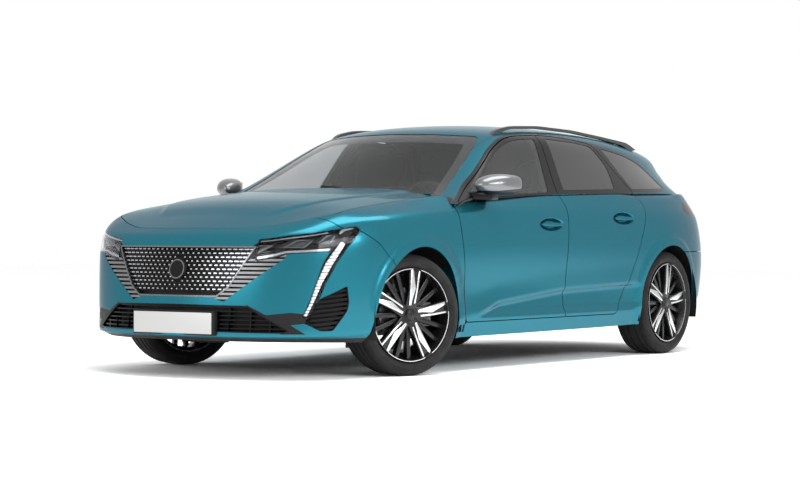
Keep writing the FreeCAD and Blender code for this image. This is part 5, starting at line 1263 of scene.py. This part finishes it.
finish_piece("diffuser_blades", blades, "body", black_plastic)
rear_plate = rounded_box((-2.286, -PLATE_HALF, .700), (-2.2785, PLATE_HALF, .810), 0.003)
finish_piece("rear_plate", rear_plate, "tailgate", plate_white)
rear_holder = rounded_box((-2.2780, -PLATE_HALF - .03, .685), (-2.225, PLATE_HALF + .03, .835), 0.006)
finish_piece("rear_plate_holder", rear_holder, "tailgate", black_plastic)
reflector = moulding([end_block(rounded([(.50, .405), (.69, .405), (.69, .420), (.50, .420)], .006), -2.5, -1.9)])
finish_piece("rear_reflectors", both(reflector), "body", lamp_red, "tail_lamp")
brake_lamp = panel(cabin_sheet, [box_block((-2.1, -.16, 1.262), (-1.90, .16, 1.276))], depth=-0.002, thickness=0.0019)
finish_piece("high_brake_lamp", brake_lamp, "tailgate", lamp_red, "tail_lamp")

# ---------------------------------------------------------------- wheels
# Forged-look alloy wheels: a black rim with five double spokes whose faces are machined bright, one
# blade wide and one narrow, darker webs between them, and a thin bright line round the flange.
# The tyre has four grooves, shoulder blocks and ribbed sidewalls.

tyre_rubber = finish("tyre_rubber", (0.010, 0.010, 0.010), 0.82, worn=(14.0, 0.68, 0.86), grain=(260.0, 0.0004),
                     Specular_IOR_Level=0.3)
rim_black = finish("rim_black", (0.006, 0.006, 0.007), 0.34, worn=(45.0, 0.2, 0.36), Specular_IOR_Level=0.35)
rim_face = finish("rim_face", (0.58, 0.59, 0.60), 0.24, 1.0, worn=(220.0, 0.18, 0.32), stretch=(1, 1, 0.15))
TYRE_SECTION = [   # radius, distance out from the tyre's middle
    (.243, .088), (.252, .099), (.262, .1065), (.272, .1105), (.274, .1118), (.280, .1120), (.282, .1108),
    (.296, .1080), (.306, .1010), (.3120, .0935), (.3160, .0840), (.3172, .0680), (.3105, .0655),
    (.3105, .0580), (.3180, .0555), (.3185, .0310), (.3110, .0285), (.3110, .0200), (.3185, .0175),
]
RIM_SECTION = [
    (.2445, .1000), (.2440, .1035), (.2400, .1040), (.2370, .0990), (.2340, .0900), (.2290, .0700),
    (.2180, .0450), (.2140, -.0300), (.2180, -.0820), (.2270, -.0930), (.2360, -.1010), (.2430, -.1010),
    (.2430, -.0930), (.2330, -.0860), (.2240, -.0760), (.2205, -.0300), (.2240, .0440), (.2350, .0640), (.2400, .0860),
]
SPOKES, FACE_OUT = 5, 0.0960
RIM_INSIDE = 0.2385
SPOKE_PHASE = math.radians(-8.5)
WIDE_BLADE = [(.0040, .050), (.0170, .050), (.0190, .075), (.0230, .140), (.0300, .2390), (.0160, .2400),
              (-.0120, .140), (.0020, .075)]
NARROW_BLADE = [(-.0120, .062), (-.0210, .064), (-.0270, .140), (-.0300, .2390), (-.0205, .2400), (-.0170, .140)]


def spun(section, steps=72, turn=math.tau):
    """A profile of (radius, distance out) spun round the wheel's axle, which runs along Y."""
    ring = bmesh.new()
    verts = [ring.verts.new((0, out, radius)) for radius, out in section]
    edges = [ring.edges.new((a, b)) for a, b in zip(verts, verts[1:] + verts[:1])]
    bmesh.ops.spin(ring, geom=verts + edges, cent=(0, 0, 0), axis=(0, 1, 0), angle=turn, steps=steps,
                   use_merge=turn == math.tau)
    if turn != math.tau:
        bmesh.ops.holes_fill(ring, edges=[e for e in ring.edges if e.is_boundary])
    bmesh.ops.remove_doubles(ring, verts=ring.verts, dist=1e-6)
    bmesh.ops.recalc_face_normals(ring, faces=ring.faces)
    return ring


def wheel_plate(outline, low, high, angle=0.0, bevel=0.0):
    """A plate in the wheel's plane from an outline of (across, up), turned round the axle."""
    turn = Matrix.Rotation(angle, 4, "Y")
    plate = prism([turn @ Vector((a, low, b)) for a, b in outline], (0, high - low, 0))
    return bevelled(plate, bevel, 2, 30) if bevel else plate


def boss(radius, tip, depth, sides, at, angle=0.0):
    """A short boss along the axle: set out from the middle, then turned round the axle."""
    work = bmesh.new()
    bmesh.ops.create_cone(work, cap_ends=True, segments=sides, radius1=radius, radius2=tip, depth=depth)
    bmesh.ops.rotate(work, verts=work.verts, cent=(0, 0, 0), matrix=Matrix.Rotation(math.radians(-90), 3, "X"))
    bmesh.ops.translate(work, verts=work.verts, vec=at)
    bmesh.ops.rotate(work, verts=work.verts, cent=(0, 0, 0), matrix=Matrix.Rotation(angle, 3, "Y"))
    return mesh_object("boss", work)


tyre_work = spun(TYRE_SECTION + [(r, -out) for r, out in reversed(TYRE_SECTION)], 84)
shoulders = [f for f in tyre_work.faces
             if 0.068 < abs(f.calc_center_median().y) < 0.090 and math.hypot(*f.calc_center_median().xz) > 0.312]
bmesh.ops.inset_individual(tyre_work, faces=shoulders, thickness=0.0016, depth=0.0)
sunk = {v for f in shoulders for v in f.verts}
for vertex in tyre_work.verts:
    near = 0.067 < abs(vertex.co.y) < 0.094 and math.hypot(vertex.co.x, vertex.co.z) > 0.311
    if near and vertex not in sunk:
        vertex.co.x *= 0.9925
        vertex.co.z *= 0.9925
tyre_made = mesh_object("tyre", tyre_work)
rim_made = mesh_object("rim", spun(RIM_SECTION, 96))
black_parts, bright_parts = [], []
for n in range(SPOKES):
    angle = math.tau * n / SPOKES + SPOKE_PHASE
    black_parts.append(wheel_plate([(-.036, .030), (.036, .030), (.026, .120), (.036, RIM_INSIDE),
                                    (-.036, RIM_INSIDE), (-.029, .120)], 0.052, 0.0905, angle, .004))
    for way in (-1, 1):
        lean = math.tau * (n + 0.5) / SPOKES + SPOKE_PHASE + way * 0.17
        black_parts.append(wheel_plate([(-.013, .045), (.013, .045), (.012, RIM_INSIDE - .003),
                                        (-.012, RIM_INSIDE - .003)], 0.040, 0.0740, lean, .004))
    bright_parts.append(wheel_plate(WIDE_BLADE, 0.0895, FACE_OUT, angle, .0012))
    bright_parts.append(wheel_plate(NARROW_BLADE, 0.0895, FACE_OUT, angle, .0012))
    arc = spun([(.2428, .1050), (.2428, .1000), (.2392, .1000), (.2392, .1050)], 24, math.radians(60.0))
    bmesh.ops.rotate(arc, verts=arc.verts, cent=(0, 0, 0), matrix=Matrix.Rotation(angle + math.radians(6.0), 3, "Y"))
    bright_parts.append(mesh_object("arc", arc))
hub = mesh_object("hub", spun([(.012, .096), (.030, .095), (.034, .090), (.036, .060), (.072, .058), (.074, .046),
                               (.012, .046)], 40))
for n in range(SPOKES):
    bright_parts.append(boss(.0085, .0078, .022, 6, (0, .069, .054), math.tau * (n + 0.5) / SPOKES))
centre_cap = bevelled(boss(.029, .026, .012, 40, (0, .094, 0)), .002)
rim_black_made = join_objects(rim_made, *black_parts, hub, centre_cap)
rim_face_made = join_objects(*bright_parts)
STEERED = math.radians(-19)
WHEELS = {
    "left_front": ((1.394, .777, .3185), STEERED), "right_front": ((1.352, -.777, .3185), STEERED + math.pi),
    "left_rear": ((-1.359, .7805, .3185), 0.0), "right_rear": ((-1.359, -.7805, .3185), math.pi),
}
for word, (at, turn) in WHEELS.items():
    stand = Matrix.Translation(at) @ Matrix.Rotation(turn, 4, "Z")
    for what, made, material, slot, stands_for in (
        ("tyre_tread", tyre_made, tyre_rubber, "tyre", [f"{word}_tyre"]),
        ("rim_body", rim_black_made, rim_black, "rim", [f"{word}_rim"]),
        ("rim_blades", rim_face_made, rim_face, "rim", []),
    ):
        copy = copy_of(made)
        copy.data.transform(stand)
        finish_piece(f"{word}_{what}", copy, f"{word}_wheel", material, slot, *stands_for)

# ---------------------------------------------------------------- wheel arch liners
# Black moulded liners that close each arch over the wheel, with room for the front wheels to turn.
# A wall closes their inner side: behind the rear wheels whole, in front a low shield clear of full lock.

LINER_RADIUS = {"front": 0.386, "rear": 0.364}
LINER_INNER_Y, LINER_OUTER_Y, LINER_BELOW_AXLE = 0.560, 0.890, 0.10
SHIELD_Y, SHIELD_REACH, SHIELD_LOW, SHIELD_HIGH = 0.470, 0.40, 0.19, 0.40
WALL_THICKNESS = 0.004

for end, axle in (("front", front_axle), ("rear", rear_axle)):
    radius = LINER_RADIUS[end]
    shell = bmesh.new()
    sweep = [shell.verts.new((axle.x - radius, y, axle.z - LINER_BELOW_AXLE)) for y in (LINER_INNER_Y, LINER_OUTER_Y)]
    edges = [shell.edges.new(sweep)]
    bmesh.ops.spin(shell, geom=sweep + edges, cent=axle, axis=(0, 1, 0), angle=math.radians(212), steps=40)
    liner = mesh_object("liner", shell)
    liner.modifiers.new("wall", "SOLIDIFY").thickness = 0.003
    apply_modifiers(liner)
    if end == "front":
        liner = carve(liner, [], [tools["front_opening"]])
        toe = [Vector(p) for p in ARCH_TOE[:-1]]
        liner = join_objects(liner, side_block(toe + [p + Vector((0.004, 0.003)) for p in reversed(toe)], .50, .845))
        ends = [(axle.x - SHIELD_REACH, SHIELD_LOW), (axle.x - SHIELD_REACH, SHIELD_HIGH),
                (axle.x + SHIELD_REACH, SHIELD_HIGH), (axle.x + SHIELD_REACH, SHIELD_LOW)]
        liner = join_objects(liner, side_block(ends, SHIELD_Y - WALL_THICKNESS, SHIELD_Y))
    else:
        turns = [math.radians(angle) for angle in range(-16, 197, 6)]
        inner_face = [(axle.x + radius * math.cos(turn), axle.z + radius * math.sin(turn)) for turn in turns]
        liner = join_objects(liner, side_block(inner_face, LINER_INNER_Y - WALL_THICKNESS, LINER_INNER_Y))
    finish_piece(f"{end}_arch_liners", both(liner), "body", black_plastic)

# ---------------------------------------------------------------- window surrounds and belt trim
# Gloss black mouldings round the side windows, flush with the paint, clipped to the body's flange
# and carried along the belt behind the doors.

trim = panel(cabin_sheet, [tools["side_glass"]], [*door_openings, tools["quarter_glass"]])
belt_trim = moulding([tools["belt_band"]], [*door_openings, tools["tailgate_opening"]])
finish_piece("window_surround", join_objects(trim, belt_trim), "body", black_gloss)

# ---------------------------------------------------------------- door mirrors
# Satin grey shells over a gloss black base, on a short foot at the front corner of the door glass,
# with a mirror glass that faces back.

mirror_cap = finish("mirror_cap", (0.17, 0.175, 0.18), 0.28, 0.75, worn=(700.0, 0.24, 0.34), Coat_Weight=0.3)
silvered = finish("silvered", (0.75, 0.76, 0.78), 0.03, 1.0, worn=(5.0, 0.02, 0.05))
SHELL_STATIONS = [    # y, then the shell's back, front, low and high sides there
    (.855, .705, .826, .975, 1.040), (.895, .655, .842, .958, 1.068), (.950, .612, .830, .953, 1.076),
    (1.002, .575, .772, .962, 1.070), (1.0275, .566, .700, .985, 1.052),
]


def lofted(work, rings):
    """Closes a skin through rings of vertices and caps both ends."""
    loops = [[work.edges.new((a, b)) for a, b in zip(ring, ring[1:] + ring[:1])] for ring in rings]
    for near, far in zip(loops, loops[1:]):
        bmesh.ops.bridge_loops(work, edges=near + far)
    for ring in (rings[0], rings[-1]):
        work.faces.new(ring)
    bmesh.ops.recalc_face_normals(work, faces=work.faces)


def shell_ring(work, y, back, front, low, high):
    """A rounded quarter-moon ring, flat at the back and full at the front."""
    rows = [(0, .12), (0, .88), (.26, 1), (.74, .96), (1, .66), (1, .24), (.70, .02), (.24, 0)]
    return [work.verts.new((back + (front - back) * a, y, low + (high - low) * b)) for a, b in rows]


shell = bmesh.new()
lofted(shell, [shell_ring(shell, *station) for station in SHELL_STATIONS])
whole_shell = subdivided(mesh_object("shell", shell), 3)
SHELL_SPLIT = [(.50, 1.20), (.50, 1.000), (.62, .990), (.76, .978), (.86, .976), (.86, 1.20)]
shell_top = side_block(SHELL_SPLIT, 0.8, 1.2)
foot = prism([(x, y, .928) for x, y in [(.665, .805), (.665, .925), (.745, .930), (.800, .880), (.845, .800)]],
             (0, 0, .048))
fit_both_sides({
    "{}_mirror_shell": (carve(copy_of(whole_shell), [shell_top]), mirror_cap, "mirror_cap", "{}_mirror"),
    "{}_mirror_base": (join_objects(carve(copy_of(whole_shell), [], [shell_top]), bevelled(foot, .010, 3)),
                    black_gloss, "black_plastic"),
    "{}_mirror_glass": (bevelled(prism([(.646, .908, .986), (.570, 1.002, .990), (.570, 1.002, 1.044),
                                     (.646, .908, 1.048)], (-0.005, 0, 0)), .001), silvered, "glass"),
}, "{}_front_door")

# ---------------------------------------------------------------- roof rails, aerial and wipers
# Satin anodised rails that stand on the roof at both ends, a short fin aerial, and black wiper arms.

rail_metal = finish("rail_metal", (0.07, 0.072, 0.075), 0.32, 0.85, worn=(120.0, 0.25, 0.40),
                    stretch=(0.05, 1, 1))
RAIL = rounded([
    (.215, 1.300, .004), (.150, 1.346), (-.008, 1.373), (-.305, 1.385), (-.699, 1.376), (-1.046, 1.351),
    (-1.386, 1.323), (-1.500, 1.282, .004), (-1.420, 1.270, .004), (-1.340, 1.304), (-1.046, 1.334),
    (-.699, 1.359), (-.305, 1.368), (-.008, 1.356), (.110, 1.330), (.140, 1.300, .004),
], .05, 4)
rail = bevelled(side_block(RAIL, .550, .576), .005, 3)
finish_piece("roof_rail_bars", both(rail), "body", rail_metal, "rail_metal", "roof_rails")
fin_aerial = bevelled(side_block(rounded([(-1.36, 1.335), (-1.50, 1.398), (-1.545, 1.398), (-1.55, 1.320)], .02),
                                 -.022, .022), .010, 3)
finish_piece("fin_aerial", fin_aerial, "body", black_gloss)


def on_glass(x, y):
    """The place on the cabin sheet above an x and y."""
    _, at, normal, _ = cabin_sheet.ray_cast((x, y, 2.0), (0, 0, -1))
    return at + normal * 0.010


def strip_along(points, width, height):
    """A slim bar whose top follows some points."""
    work = bmesh.new()
    rows = []
    for index, at in enumerate(points):
        before, after = points[max(index - 1, 0)], points[min(index + 1, len(points) - 1)]
        across = (after - before).cross(Vector((0, 0, 1))).normalized() * width / 2
        down = Vector((0, 0, -height))
        rows.append([work.verts.new(p) for p in (at - across, at + across, at + across + down, at - across + down)])
    for near, far in zip(rows, rows[1:]):
        for n in range(4):
            work.faces.new((near[n], near[(n + 1) % 4], far[(n + 1) % 4], far[n]))
    work.faces.new(rows[0])
    work.faces.new(rows[-1])
    bmesh.ops.recalc_face_normals(work, faces=work.faces)
    return mesh_object("strip", work)


wipers = []
for start, tip in (((1.015, .48), (.945, -.08)), ((1.035, -.10), (.955, -.60))):
    line = [on_glass(start[0] + (tip[0] - start[0]) * t / 12, start[1] + (tip[1] - start[1]) * t / 12)
            for t in range(13)]
    wipers += [strip_along(line, .012, .012),
               strip_along([p + Vector((-.010, 0, .004)) for p in line[4:]], .007, .013)]
finish_piece("wipers", join_objects(*wipers), "body", black_plastic)

# ---------------------------------------------------------------- seats
# Foam cushions in a dark woven cloth with side bolsters and sewn flutes, on a plastic base. The
# bench holds three head restraints on steel posts.

seat_fabric = new_material("seat_fabric", (0.030, 0.031, 0.034), 0.9, Sheen_Weight=0.35, Sheen_Roughness=0.5)


def woven(material, size, depth):
    """A cloth weave: two sets of crossing threads."""
    tree = material.node_tree
    coordinates = tree.nodes.new("ShaderNodeTexCoord")
    heights = []
    for direction in ("X", "Z"):
        wave = tree.nodes.new("ShaderNodeTexWave")
        wave.bands_direction = direction
        wave.inputs["Scale"].default_value = size
        wave.inputs["Distortion"].default_value = 0.6
        wave.inputs["Detail"].default_value = 1.0
        tree.links.new(coordinates.outputs["Object"], wave.inputs["Vector"])
        heights.append(wave.outputs["Fac"])
    crossed = tree.nodes.new("ShaderNodeMath")
    crossed.operation = "MULTIPLY"
    tree.links.new(heights[0], crossed.inputs[0])
    tree.links.new(heights[1], crossed.inputs[1])
    bump(material, crossed.outputs[0], depth)


woven(seat_fabric, 90.0, 0.0006)
vary(seat_fabric, noise(seat_fabric, 30.0, 4.0), "Base Color", (0.022, 0.023, 0.026), (0.040, 0.041, 0.045))
ACROSS = [    # share of the half width from the middle, and the section's size there
    (0.00, 1.00), (.30, .995), (.345, .955), (.39, .995), (.62, 1.00), (.665, .95), (.71, 1.03), (.84, 1.09),
    (.94, 1.04), (1.0, .84),
]
CUSHION = [(-.060, .065), (.20, .085), (.440, .110), (.490, .160), (.470, .195), (.30, .180), (.10, .158),
           (-.050, .170)]
BACKREST = [(-.110, .075), (-.010, .070), (.028, .180), (-.012, .380), (-.085, .620), (-.130, .648), (-.178, .630),
            (-.160, .400), (-.140, .180)]
HEADREST = [(-.188, .665), (-.135, .655), (-.108, .672), (-.112, .740), (-.125, .795), (-.160, .806), (-.190, .790)]


def cushion(section, x, y, half_width, bolster=1.0):
    """A padded block: a side section carried across the seat, fuller at its bolsters."""
    middle = sum((Vector(p) for p in section), Vector((0, 0))) / len(section)
    stations = [(-share, size) for share, size in reversed(ACROSS[1:])] + ACROSS
    work = bmesh.new()
    rings = []
    for share, size in stations:
        grow = 1 + (size - 1) * bolster
        rings.append([work.verts.new((x + middle.x + (a - middle.x) * grow, y + share * half_width,
                                      FLOOR_TOP + middle.y + (b - middle.y) * grow)) for a, b in section])
    lofted(work, rings)
    return subdivided(mesh_object("pad", work), 2)


def soft_piece(name, pads, *stands_for):
    """Hangs padded pieces on the body in seat cloth."""
    pad = finish_piece(name, join_objects(*pads), "body", seat_fabric, "seat_fabric", *stands_for)


FLOOR_TOP, FRONT_SEAT_X, BENCH_X = 0.225, 0.040, -0.800
steel_post = []
for side, y in (("left", .370), ("right", -.370)):
    stands_for = ["front_seats"] if side == "left" else []
    soft_piece(f"{side}_seat_cushion", [cushion(CUSHION, FRONT_SEAT_X, y, .250)], *stands_for)
    soft_piece(f"{side}_seat_backrest", [cushion(BACKREST, FRONT_SEAT_X, y, .245)])
    soft_piece(f"{side}_head_restraint", [cushion(HEADREST, FRONT_SEAT_X, y, .128, 0.4)])
soft_piece("bench_cushion", [cushion(CUSHION, BENCH_X, 0, .620, 0.7)], "rear_seat")
soft_piece("bench_backrest", [cushion(BACKREST, BENCH_X, 0, .620, 0.7)])
soft_piece("bench_head_restraints", [cushion(HEADREST, BENCH_X, y, .118, 0.4) for y in (-.40, 0, .40)])
for x, y in [(FRONT_SEAT_X, .370), (FRONT_SEAT_X, -.370)] + [(BENCH_X, y) for y in (-.40, 0, .40)]:
    for way in (-.05, .05):
        post = bmesh.new()
        bmesh.ops.create_cone(post, cap_ends=True, segments=12, radius1=.006, radius2=.006, depth=.12)
        bmesh.ops.translate(post, verts=post.verts, vec=(x - .148, y + way, FLOOR_TOP + .65))
        steel_post.append(mesh_object("post", post))
finish_piece("head_restraint_posts", join_objects(*steel_post), "body", bright_metal, "rail_metal")
BASE_BOXES = [    # back, front, right, left and height over the floor
    (FRONT_SEAT_X - .06, FRONT_SEAT_X + .40, -.37 - .20, -.37 + .20, .085),
    (FRONT_SEAT_X - .06, FRONT_SEAT_X + .40, .37 - .20, .37 + .20, .085),
    (BENCH_X - .04, BENCH_X + .42, -.58, .58, .075),
]
seat_bases = [rounded_box((back, right, FLOOR_TOP + .002), (front, left, FLOOR_TOP + tall), .02)
              for back, front, right, left, tall in BASE_BOXES]
finish_piece("seat_bases", join_objects(*seat_bases), "body", black_plastic)

# ---------------------------------------------------------------- cabin fittings
# Inside mirror on the screen, a wide touch screen, an instrument display under the hood, side air
# vents, a gear selector, and webbing belts on the middle posts.

screen_glass = finish("screen_glass", (0.006, 0.007, 0.009), 0.06, worn=(8.0, 0.04, 0.1), Coat_Weight=1.0)
webbing = new_material("webbing", (0.018, 0.018, 0.019), 0.8)
woven(webbing, 200.0, 0.0003)
vary(webbing, noise(webbing, 12.0), "Roughness", 0.7, 0.88)
inside_mirror = rounded_box((.330, -.125, 1.195), (.362, .125, 1.262), .012, 3)
mirror_stalk = strip_along([Vector((.345, 0, 1.232)), Vector((.385, 0, 1.262)), Vector((.430, 0, 1.288))], .020, .020)
finish_piece("inside_mirror", join_objects(inside_mirror, mirror_stalk), "body", black_plastic)
touch_screen = rounded_box((.716, -.135, .880), (.730, .135, .985), .004)
finish_piece("touch_screen", touch_screen, "body", screen_glass)
display = rounded_box((.684, .245, .820), (.6895, .495, .905), .002)
finish_piece("instrument_display", display, "body", screen_glass)
vent_bars = join_objects(*[
    rounded_box((.722, y - .055, .800 + .014 * n), (.7345, y + .055, .806 + .014 * n), .001)
    for y in (-.60, -.12, .12, .60) for n in range(4)
])
finish_piece("air_vent_bars", vent_bars, "body", black_gloss)
selector = bevelled(prism([(x, -.018, z) for x, z in [(.36, .520), (.42, .520), (.405, .600), (.372, .600)]],
                          (0, .036, 0)), .008)
finish_piece("gear_selector", selector, "body", black_gloss)
belt = strip_along([Vector((-.150, .640, 1.150)), Vector((-.140, .655, .90)), Vector((-.130, .662, .60)),
                    Vector((-.128, .662, .30))], .046, .0016)
finish_piece("front_belts", both(belt), "body", webbing)
load_trim = side_block(rounded([(-1.06, .655), (-1.06, .975), (-1.88, .985), (-1.98, .80), (-1.95, .655)], .03),
                       .600, .606)
finish_piece("load_space_trim", both(load_trim), "body", trim_grey)

# ---------------------------------------------------------------- pieces carried over
# Floor, running gear, engine and facia keep their made shapes and get their own finishes: primed
# pressings, cast iron, aluminium, heat-stained steel, leather and soft moulded plastic.

primed_steel = new_material("primed_steel", (0.022, 0.024, 0.026), 0.62)
bump(primed_steel, noise(primed_steel, 55.0, 4.0), 0.0012)
vary(primed_steel, noise(primed_steel, 7.0, 5.0), "Base Color", (0.014, 0.015, 0.016), (0.034, 0.034, 0.034))
cast_metal = new_material("cast_metal", (0.17, 0.17, 0.17), 0.55, 0.85)
bump(cast_metal, noise(cast_metal, 420.0), 0.0008)
vary(cast_metal, noise(cast_metal, 18.0, 4.0), "Roughness", 0.42, 0.7)
exhaust_steel = new_material("exhaust_steel", (0.26, 0.235, 0.21), 0.42, 1.0)
vary(exhaust_steel, noise(exhaust_steel, 12.0, 5.0), "Base Color", (0.16, 0.13, 0.11), (0.32, 0.30, 0.28))
brake_iron = finish("brake_iron", (0.30, 0.30, 0.31), 0.36, 1.0, worn=(500.0, 0.26, 0.5), stretch=(1, 0.05, 1))
soft_plastic = finish("soft_plastic", (0.020, 0.020, 0.022), 0.68, worn=(4.0, 0.6, 0.78),
                      grain=(1100.0, 0.0004))
leather = new_material("leather", (0.014, 0.014, 0.015), 0.45)
bump(leather, noise(leather, 900.0, 3.0), 0.0005)
vary(leather, noise(leather, 40.0), "Roughness", 0.36, 0.56)
FINISHES = {
    "floor_pan": primed_steel, "engine_bay": primed_steel, "engine": cast_metal, "exhaust": exhaust_steel,
    "rear_axle": primed_steel, "front_subframe": primed_steel, "left_knuckle": cast_metal,
    "right_knuckle": cast_metal, "dashboard": soft_plastic, "steering_wheel": leather,
    "left_front_disc": brake_iron, "right_front_disc": brake_iron, "left_rear_disc": brake_iron,
    "right_rear_disc": brake_iron,
}
for node, material in FINISHES.items():
    data = frame["nodes"][node].data
    data.materials.clear()
    data.materials.append(material)

# ---------------------------------------------------------------- left-over tools
# The blocks and left-hand masters that shaped the pieces belong to no body, so they are taken out
# before the finished model is measured.

for obj in [o for o in scene.objects if o.type == "MESH" and o != floor
            and not body_of(o) and o.name not in frame["nodes"]]:
    bpy.data.objects.remove(obj)
